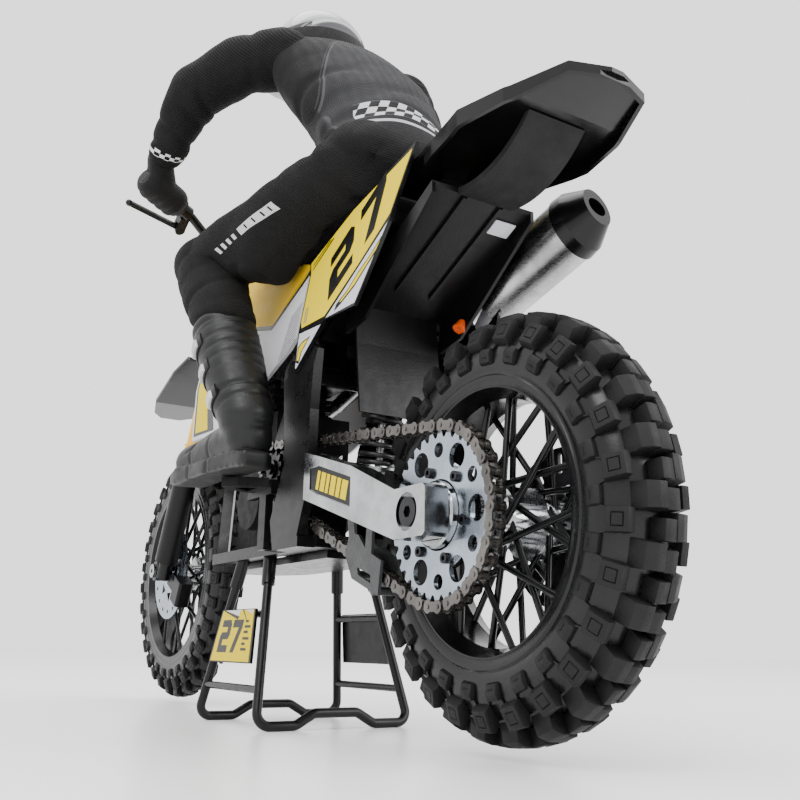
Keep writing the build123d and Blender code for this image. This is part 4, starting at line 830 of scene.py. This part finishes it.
def jersey():
    """The body of the jersey: a loose tube, open at the hem, with its cloth turned in at the edge."""
    stations = np.array([
        (-108.6, 0, 273, 39.5, 20.0), (-102.5, 0, 284, 40.5, 23.0), (-95.3, 0, 296, 40.5, 26.0),
        (-87.3, 0, 309, 40.0, 27.5), (-79.5, 0, 321, 41.0, 28.5), (-65, 0, 342, 46.0, 27.5),
        (-49, 0, 361, 51.0, 26.0), (-37, 0, 375, 51.0, 23.5), (-27, 0, 387, 40.0, 19.0),
        (-18, 0, 395, 25.0, 16.0), (-10, 0, 402, 17.5, 14.5),
    ])  # middle x, y, z, half width, half depth
    reach = np.r_[0, np.cumsum(np.linalg.norm(np.diff(stations[:, :3], axis=0), axis=1))]
    rows, around = 150, 220
    s = np.linspace(0, reach[-1], rows)
    slope = np.gradient(stations, reach, axis=0)
    index = np.clip(np.searchsorted(reach, s, side="right") - 1, 0, len(reach) - 2)
    h = reach[index + 1] - reach[index]
    t = ((s - reach[index]) / h)[:, None]
    h = h[:, None]
    values = ((2 * t ** 3 - 3 * t ** 2 + 1) * stations[index] + (t ** 3 - 2 * t ** 2 + t) * h * slope[index]
              + (-2 * t ** 3 + 3 * t ** 2) * stations[index + 1] + (t ** 3 - t ** 2) * h * slope[index + 1])
    theta = np.linspace(0, 2 * np.pi, around, endpoint=False)

    def across(wide, deep):
        """Offsets sideways and towards the back, as vectors."""
        return np.stack([np.zeros_like(wide), wide, np.zeros_like(wide)], -1) + deep[...,
                                                                                     None] * np.array(BACK)

    S, TH = np.meshgrid(s, theta, indexing="ij")
    side, rear = np.cos(TH), np.sin(TH)
    fold = 0.9 * ridge(S * 0.30 + 1.2 * np.sin(TH * 2) + 0.8) * near(S, 26, 18) * np.clip(rear + 0.45, 0, 1)
    fold += 1.0 * ridge(TH * 7.0 + S * 0.10) * near(S, 2, 11) * 0.9
    fold += 1.1 * ridge(S * 0.26 - 3.0 * np.abs(side) + 0.4) * near(S, 66, 22) * np.abs(side) ** 2
    fold += 0.6 * ridge(S * 0.2 + 4.0 * side * rear) * near(S, 45, 26)
    fold += 0.5 * np.sin(S * 0.11 + 3 * TH) + 0.3 * np.sin(S * 0.07 - 5 * TH + 1)
    fold += 0.8 * near(S, 1.2, 1.6)
    points = values[:, None, :3] + across((values[:, 3:4] + fold) * side, (values[:, 4:5] + fold) * rear)
    # the edge turns in and runs back up inside
    hem = points[0] - across(0.9 * np.cos(theta), 0.9 * np.sin(theta)) + 0.3 * np.array(SPINE)
    inner = [hem] + [points[row] - across(step_in * np.cos(theta), step_in * np.sin(theta))
                     for step_in, row in ((1.3, 6), (1.5, 16), (1.6, 30))]
    bm = bmesh.new()
    rings = [[bm.verts.new(drawn(*p)) for p in row] for row in inner[::-1] + list(points)]
    join_rings(bm, rings)
    bm.faces.new(rings[-1])
    bmesh.ops.recalc_face_normals(bm, faces=bm.faces)
    finish_mesh("jersey_body", bm, ["jersey_cloth"], "bike", replaces=("rider_torso",))


jersey()
for side, word in SIDES:
    form = soft_form([((-40, side * 40, 375), (-24, side * 62, 371), 17.5, 16.5),
                      ((-24, side * 62, 371), (-4, side * 81, 357), 16.5, 15.6),
                      ((-4, side * 81, 357), (9, side * 85, 343), 15.4, 13.0),
                      ((9, side * 85, 343), (24, side * 87, 328.5), 12.8, 10.2)], voxel=1.0, smooth=8)
    sleeve = clothed("sleeve_" + word, form, sleeve_push(side), "sleeve_cloth", None, ("rider_arm_" + word,))
    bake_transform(sleeve)


def pants_settle(board):
    """Brings the top of the thighs down, the hips forward, and the thighs' underside down to the shroud."""
    lowered = board.copy()
    for side in (1, -1):
        path, thigh = leg_path(side)
        along, away = limb_place(board, path)
        drop = np.interp(along, [0, thigh * 0.5, thigh, thigh + 20], [10.0, 8.0, 4.0, 0.0])
        above = np.clip(away[:, 2], 0, 1) ** 0.8
        mine = np.sign(board[:, 1]) == side
        lowered[:, 2] -= np.where(mine, drop * above, 0)
        below = np.clip(-away[:, 2] + 0.2, 0, 1) * np.clip((np.abs(board[:, 1]) - 19) / 8, 0, 1)
        lowered[:, 2] -= np.where(mine, 15.0 * below * near(board[:, 0], -58, 20), 0)
    lowered[:, 0] += 12.0 * np.clip((-96 - board[:, 0]) / 34, 0, 1)
    return lowered


form = soft_form(nodes=["rider_pants"], voxel=1.1, smooth=14)
clothed("pants", form, pants_push, "pants_cloth", "bike", ("rider_pants",), pants_settle)


def glove_push(board, normals):
    """Fingers wrapped round the grip: grooves across the bar."""
    bend, end = np.array([52.5, 60, 305.7]), np.array([34, 97, 314])
    run = end - bend
    push = np.zeros(len(board))
    for side in (1, -1):
        t = (board * np.array([1, side, 1]) - bend) @ run / np.linalg.norm(run) ** 2
        finger = np.abs(np.sin((t - 0.30) / 0.60 * 4 * np.pi)) ** 0.5
        ahead = np.clip(0.5 + normals[:, 0] - normals[:, 2] * 0.6, 0, 1)
        push += np.where(board[:, 1] * side > 0, -1.1 * (1 - finger) * ahead * (np.abs(t - 0.6) < 0.32), 0)
    return push + 0.25


form = soft_form(nodes=["gloves"], voxel=0.7, smooth=5)
clothed("hands", form, glove_push, "glove_cloth", "steering", ("gloves",))


# ---------------------------------------------------------------- helmet, goggles and boots
HELMET_MIDDLE = (7, 0, 410)
HELMET_BACK, HELMET_RISE = (-0.80, 0, -0.60), (-0.35, 0, 0.94)


def helmet_paint(n):
    """A grey ring round the neck opening, and a black and yellow band on each side."""
    back = plane_of(n, HELMET_MIDDLE, HELMET_BACK)
    rise = plane_of(n, HELMET_MIDDLE, HELMET_RISE)
    side = n.size_of(sideways(n))
    wave = n.plus(rise, n.times(side, 0.55))
    flank = n.ramp(side, 17 * MM, 18 * MM)
    ring = between(n, back, 17.0, 21.0, 0.4)
    rim = n.ramp(back, 23.4 * MM, 24.0 * MM)
    yellow = n.times(between(n, wave, 20.0, 25.0), flank)
    black = n.times(between(n, wave, 26.5, 30.0), flank)
    return [(ring, (0.23, 0.24, 0.24)), (yellow, (0.85, 0.62, 0.01)), (black, (0.01, 0.01, 0.01)),
            (rim, (0.05, 0.05, 0.055))]


def painted(name, colour, prints, rough=0.18, coat=0.25):
    """Glossy paint with printed shapes, given as for cloth."""
    tree, shader = new_material(name)
    n = Nodes(tree)
    base = n.mix(n.ramp(n.noise(40.0), 0.3, 0.7), tuple(c * 0.93 for c in colour), colour)
    for mask, tint in prints(n):
        base = n.mix(mask, base, tint)
    n.link(base, shader.inputs["Base Color"])
    n.link(n.ramp(n.noise(120.0), 0.3, 0.7, rough * 0.85, rough * 1.2), shader.inputs["Roughness"])
    n.link(n.bump(n.noise(300.0, 3.0), 0.03, 0.0005), shader.inputs["Normal"])
    shader.inputs["Coat Weight"].default_value = coat
    shader.inputs["Coat Roughness"].default_value = 0.05


painted("helmet_paint", (0.42, 0.43, 0.43), helmet_paint)
plastic("lens", (0.004, 0.004, 0.005), rough=0.06, grain=0.0, coat=1.0)
cloth("strap", (0.012, 0.012, 0.012), (0.005, 0.005, 0.005), 0.8, ribs=(0, 0, 1.0))


def helmet_settle(board):
    """Draws the chin guard up and in, behind the shoulders, and the whole shell 6% smaller."""
    low = np.clip(402 - board[:, 2], 0, None)
    moved = board + low[:, None] * np.array([-0.25, 0, 0.85])
    middle = np.array([5, 0, 406])
    return middle + (moved - middle) * 0.94


def helmet_push(board, normals):
    """A crease round the neck opening, a line over each side, and two vents behind the crown."""
    offset = board - np.array(HELMET_MIDDLE)
    back = offset @ np.array(HELMET_BACK)
    rise = offset @ np.array(HELMET_RISE)
    push = -0.9 * near(back, 22.5, 0.9) + 0.6 * near(back, 25.5, 1.4)
    push += -0.7 * near(rise - 0.25 * offset[:, 0], 8.0, 0.8) * (np.abs(board[:, 1]) > 14)
    for side in (1, -1):
        vent = np.linalg.norm((offset - np.array([-20, side * 11, 20])) * np.array([0.5, 1.6, 1.0]), axis=1)
        push += -1.3 * np.exp(-(vent / 3.2) ** 4)
    return push


form = soft_form(nodes=["rider_helmet"], voxel=0.9, smooth=4)
clothed("helmet", form, helmet_push, "helmet_paint", "bike", ("rider_helmet",), helmet_settle)


def swept_band(name, rows, material, body):
    """A strip with closed ends: rows of section points (drawing board, mm), each a step along the strip."""
    bm = bmesh.new()
    rings = [[bm.verts.new(drawn(*p)) for p in row] for row in rows]
    join_rings(bm, rings)
    bm.faces.new(rings[0])
    bm.faces.new(list(reversed(rings[-1])))
    bmesh.ops.recalc_face_normals(bm, faces=bm.faces)
    return finish_mesh(name, bm, [material], body)


LENS_SECTION = ((30.5, 400.8), (31.5, 400.8), (33.0, 404.0), (33.6, 410.0), (33.0, 416.0), (31.5, 419.2),
                (30.5, 419.2), (31.6, 410.0))
BAND_SECTION = ((34.2, -4.2), (34.9, -4.2), (35.1, 0.0), (34.9, 4.2), (34.2, 4.2))


def goggles():
    """A curved dark lens in the helmet's eye port, and a strap round the shell."""
    rows = []
    for k in range(41):
        a = math.radians(-62 + 124 * k / 40)
        rows.append([(8 + r * math.cos(a), 0.86 * r * math.sin(a), z) for r, z in LENS_SECTION])
    swept_band("goggle_lens", rows, "lens", "bike")
    rows = []
    for k in range(80):
        a = math.radians(66 + 228 * k / 79)
        rows.append([(5 + (r + 4) * math.cos(a), r * 0.985 * math.sin(a), 411 + w + 1.6 * math.cos(a))
                     for r, w in BAND_SECTION])
    swept_band("goggle_strap", rows, "strap", "bike")


goggles()


def boot_push(board, normals):
    """Ribs on the calf and ankle, a collar, raised panels, toe and heel, and a welt round the sole."""
    push = np.full(len(board), 0.2)
    for side in (1, -1):
        along, away = limb_place(board, [(-37, side * 65, 206), (-66, side * 62, 150), (-66, side * 61, 138)])
        mine = board[:, 1] * side > 0
        outward = away[:, 1] * side
        rear = np.clip(-away[:, 0] + 0.15, 0, 1)
        high = (board[:, 2] > 148)
        calf = 0.75 * ridge(along * 0.9) * rear * near(along, 22, 15) * high
        panel = 0.8 * near(np.abs(outward), 1.0, 0.35) * near(along, 30, 22) * high
        collar = 1.0 * near(along, 3.0, 2.2) - 0.9 * near(along, 7.0, 0.9)
        ankle = -0.9 * near(along, 52, 1.3) + 0.6 * ridge(along * 0.8) * near(along, 58, 7)
        foot = (board[:, 2] < 143)
        grooves = 0.7 * near(board[:, 0], -22, 1.0) + 0.7 * near(board[:, 0], -44, 1.0)
        toe = foot * (0.8 * near(board[:, 0], -8, 9) - grooves)
        heel = foot * 0.7 * near(board[:, 0], -74, 7)
        welt = 0.8 * near(board[:, 2], 129.6, 0.8)
        push += np.where(mine, calf + panel + collar + ankle + toe + heel + welt, 0)
    return push


form = soft_form(nodes=["rider_boots"], voxel=0.9, smooth=3)
clothed("boots", form, boot_push, "boot_rubber", "bike", ("rider_boots",))


STRAP_SECTION = ((-0.8, -3.6), (0.35, -3.6), (0.75, -2.9), (0.75, 2.9), (0.35, 3.6), (-0.8, 3.6))
BUCKLE_SECTION = ((0.5, -2.4), (1.9, -2.2), (2.3, -1.4), (1.7, 0.0), (2.3, 1.4), (1.9, 2.2), (0.5, 2.4))


def boot_straps(side, word):
    """Three strap bands over the shin with a pale buckle on the outside of each."""
    top, foot = np.array([-38.0, side * 65, 197]), np.array([-66.0, side * 62.5, 148])
    length = np.linalg.norm(foot - top)
    run = (foot - top) / length
    across = np.array([0, 1.0, 0])
    across = across - run * across.dot(run)
    across /= np.linalg.norm(across)
    ahead = np.cross(across, run)
    ahead *= np.sign(ahead[0])

    def section(centre, radius, angle, points):
        """Points given as (lift off the shin, place along it), at an angle round it."""
        out = ahead * math.cos(angle) + across * side * math.sin(angle)
        return [tuple(centre + out * (radius + lift) + run * (w + 2.2 * math.cos(angle))) for lift,
                w in points]

    for index, share in enumerate((0.14, 0.44, 0.76)):
        at_strap = (top + run * length * share, 16.5 - 3.0 * share + 0.75)
        rows = [section(*at_strap, math.radians(-104 + 208 * k / 60), STRAP_SECTION) for k in range(61)]
        swept_band(f"boot_strap_{word}_{index}", rows, "boot_rubber", "bike")
        rows = []
        for k in range(13):
            edge = 0.55 if k in (0, 12) else 1.0
            points = [(lift * (edge if abs(w) < 2.4 else 1.0), w) for lift, w in BUCKLE_SECTION]
            rows.append(section(*at_strap, math.radians(62 + 30 * k / 12), points))
        swept_band(f"boot_buckle_{word}_{index}", rows, "buckle", "bike")


plastic("buckle", (0.50, 0.50, 0.51), rough=0.35, grain=0.05)
for side, word in SIDES:
    boot_straps(side, word)


# ---------------------------------------------------------------- seat, fenders and small parts
form = soft_form(nodes=["seat"], voxel=1.2, smooth=6)
cloth("seat_cover", (0.012, 0.012, 0.0125), (0.005, 0.005, 0.005), 1.1, rough=0.65, sheen=0.05)


def seat_push(board, normals):
    """A crowned cover with sewn ribs across the top and a seam along each edge."""
    top = np.clip(normals[:, 2], 0, 1)
    ribs = 0.45 * ridge(board[:, 0] * 0.62) * top * (np.abs(board[:, 1]) < 14)
    seam = -0.5 * near(np.abs(board[:, 1]), 15.5, 0.8) * top
    return ribs + seam - 0.25


pad = clothed("seat_pad", form, seat_push, "seat_cover", "bike", ("seat",))


def rounded_box(bm, centre, half, turn):
    """A box with softened edges, turned about its middle."""
    made = bmesh.ops.create_cube(bm, size=2.0)["verts"]
    matrix = Matrix.Translation(centre) @ turn.to_4x4() @ Matrix.Diagonal((*half, 1.0))
    bmesh.ops.transform(bm, matrix=matrix, verts=made)
    edges = list({e for v in made for e in v.link_edges})
    bmesh.ops.bevel(bm, geom=edges, offset=min(half) * 0.3, segments=2, affect="EDGES", profile=0.6)


def small_parts():
    """The white label under the rear fender, and the orange cap by the silencer."""
    bm = bmesh.new()
    lean = Matrix.Rotation(math.radians(24.5), 3, "Y")
    rounded_box(bm, drawn(-168.2, -17.8, 230.7), (4.2 * MM, 5.8 * MM, 0.35 * MM), lean)
    finish_mesh("fender_label", bm, ["film_white"], "bike")
    bm = bmesh.new()
    lean = Matrix.Rotation(math.radians(35), 4, "X")
    bmesh.ops.create_cone(bm, cap_ends=True, segments=24, radius1=3.4 * MM, radius2=2.6 * MM, depth=5.0 * MM,
                          matrix=Matrix.Translation(drawn(-124, -26.2, 197)) @ lean)
    finish_mesh("orange_cap", bm, ["orange"], "bike")


def shock_coil():
    """A wound spring between the two perches, its coils closer together towards both ends."""
    top, run = Vector((-97.0, 0, 184.0)), Vector((9.0, 0, -71.0)).normalized()
    across = Vector((0, 1, 0))
    ahead = run.cross(across)
    turns, steps, ring, wire = 7.5, 36, 9.85, 1.3
    count = int(turns * steps)
    start, end = 14.3 + wire + 0.15, 57.7 - wire - 0.15  # just clear of the perches, from the upper eye
    rows = []
    for k in range(count + 1):
        share = k / count
        eased = share - 0.055 * math.sin(2 * math.pi * share)
        angle = 2 * math.pi * turns * share
        out = ahead * math.cos(angle) + across * math.sin(angle)
        middle = top + run * (start + (end - start) * eased) + out * ring
        rows.append([tuple(middle + out * wire * math.cos(a) + run * wire * math.sin(a))
                     for a in np.linspace(0, 2 * math.pi, 12, endpoint=False)])
    coil = swept_band("shock_coil", rows, "spring_steel", None)
    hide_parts("shock_spring")
    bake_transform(coil)


plastic("spring_steel", (0.02, 0.02, 0.021), rough=0.3, grain=0.05, specular=0.4)
shock_coil()
plastic("orange", (0.85, 0.10, 0.008), rough=0.3, grain=0.02, coat=0.3, mottle=0.05)
small_parts()


# ---------------------------------------------------------------- floor, light and camera
def build_stage():
    """A pale paper floor and even white surroundings."""
    bm = bmesh.new()
    size = 6.0
    for x, y in ((-size, -size), (size, -size), (size, size), (-size, size)):
        bm.verts.new((x, y, 0))
    bm.faces.new(bm.verts)
    mesh = bpy.data.meshes.new("floor")
    bm.to_mesh(mesh)
    bm.free()
    floor = bpy.data.objects.new("floor", mesh)
    bpy.context.scene.collection.objects.link(floor)
    tree, shader = new_material("floor_paper")
    n = Nodes(tree)
    n.link(n.mix(n.noise(3.0), (0.92, 0.92, 0.92), (0.95, 0.95, 0.95)), shader.inputs["Base Color"])
    shader.inputs["Roughness"].default_value = 0.30
    shader.inputs["Specular IOR Level"].default_value = 0.5
    mesh.materials.append(MATERIALS["floor_paper"])
    world = bpy.data.worlds.new("studio")
    bpy.context.scene.world = world
    world.use_nodes = True
    background = world.node_tree.nodes["Background"]
    background.inputs["Color"].default_value = (1.0, 1.0, 1.0, 1.0)
    background.inputs["Strength"].default_value = 1.9


def area_light(name, place, target, size, power):
    light = bpy.data.lights.new(name, "AREA")
    light.energy = power
    light.shape = "SQUARE"
    light.size = size
    obj = bpy.data.objects.new(name, light)
    obj.location = place
    obj.rotation_mode = "QUATERNION"
    obj.rotation_quaternion = (Vector(target) - Vector(place)).to_track_quat("-Z", "Y")
    bpy.context.scene.collection.objects.link(obj)


build_stage()
area_light("key", (-0.9, 1.1, 1.5), (0, 0, 0.2), 0.9, 22)
area_light("fill", (-1.4, -0.9, 0.8), (-0.1, 0, 0.15), 0.8, 14)
area_light("top", (0.2, 0.1, 1.9), (0, 0, 0.2), 1.2, 16)

CAMERA_PLACE = Vector((-0.4794, 0.2347, 0.0399))
YAW, PITCH, ROLL = -0.556, 0.259, 0.016
SENSOR, FOCAL_PIXELS, PICTURE_PIXELS = 36.0, 934.7, 800.0
ahead = Vector((math.cos(PITCH) * math.cos(YAW), math.cos(PITCH) * math.sin(YAW), math.sin(PITCH)))
right = Vector((math.sin(YAW), -math.cos(YAW), 0))
up = right.cross(ahead)
right, up = right * math.cos(ROLL) + up * math.sin(ROLL), up * math.cos(ROLL) - right * math.sin(ROLL)
camera = bpy.data.cameras.new("camera")
camera.sensor_width = SENSOR
camera.lens = FOCAL_PIXELS * SENSOR / PICTURE_PIXELS
camera.clip_start = 0.01
camera_obj = bpy.data.objects.new("camera", camera)
camera_obj.matrix_world = Matrix((
    (right.x, up.x, -ahead.x, CAMERA_PLACE.x), (right.y, up.y, -ahead.y, CAMERA_PLACE.y),
    (right.z, up.z, -ahead.z, CAMERA_PLACE.z), (0, 0, 0, 1),
))
bpy.context.scene.collection.objects.link(camera_obj)
bpy.context.scene.camera = camera_obj
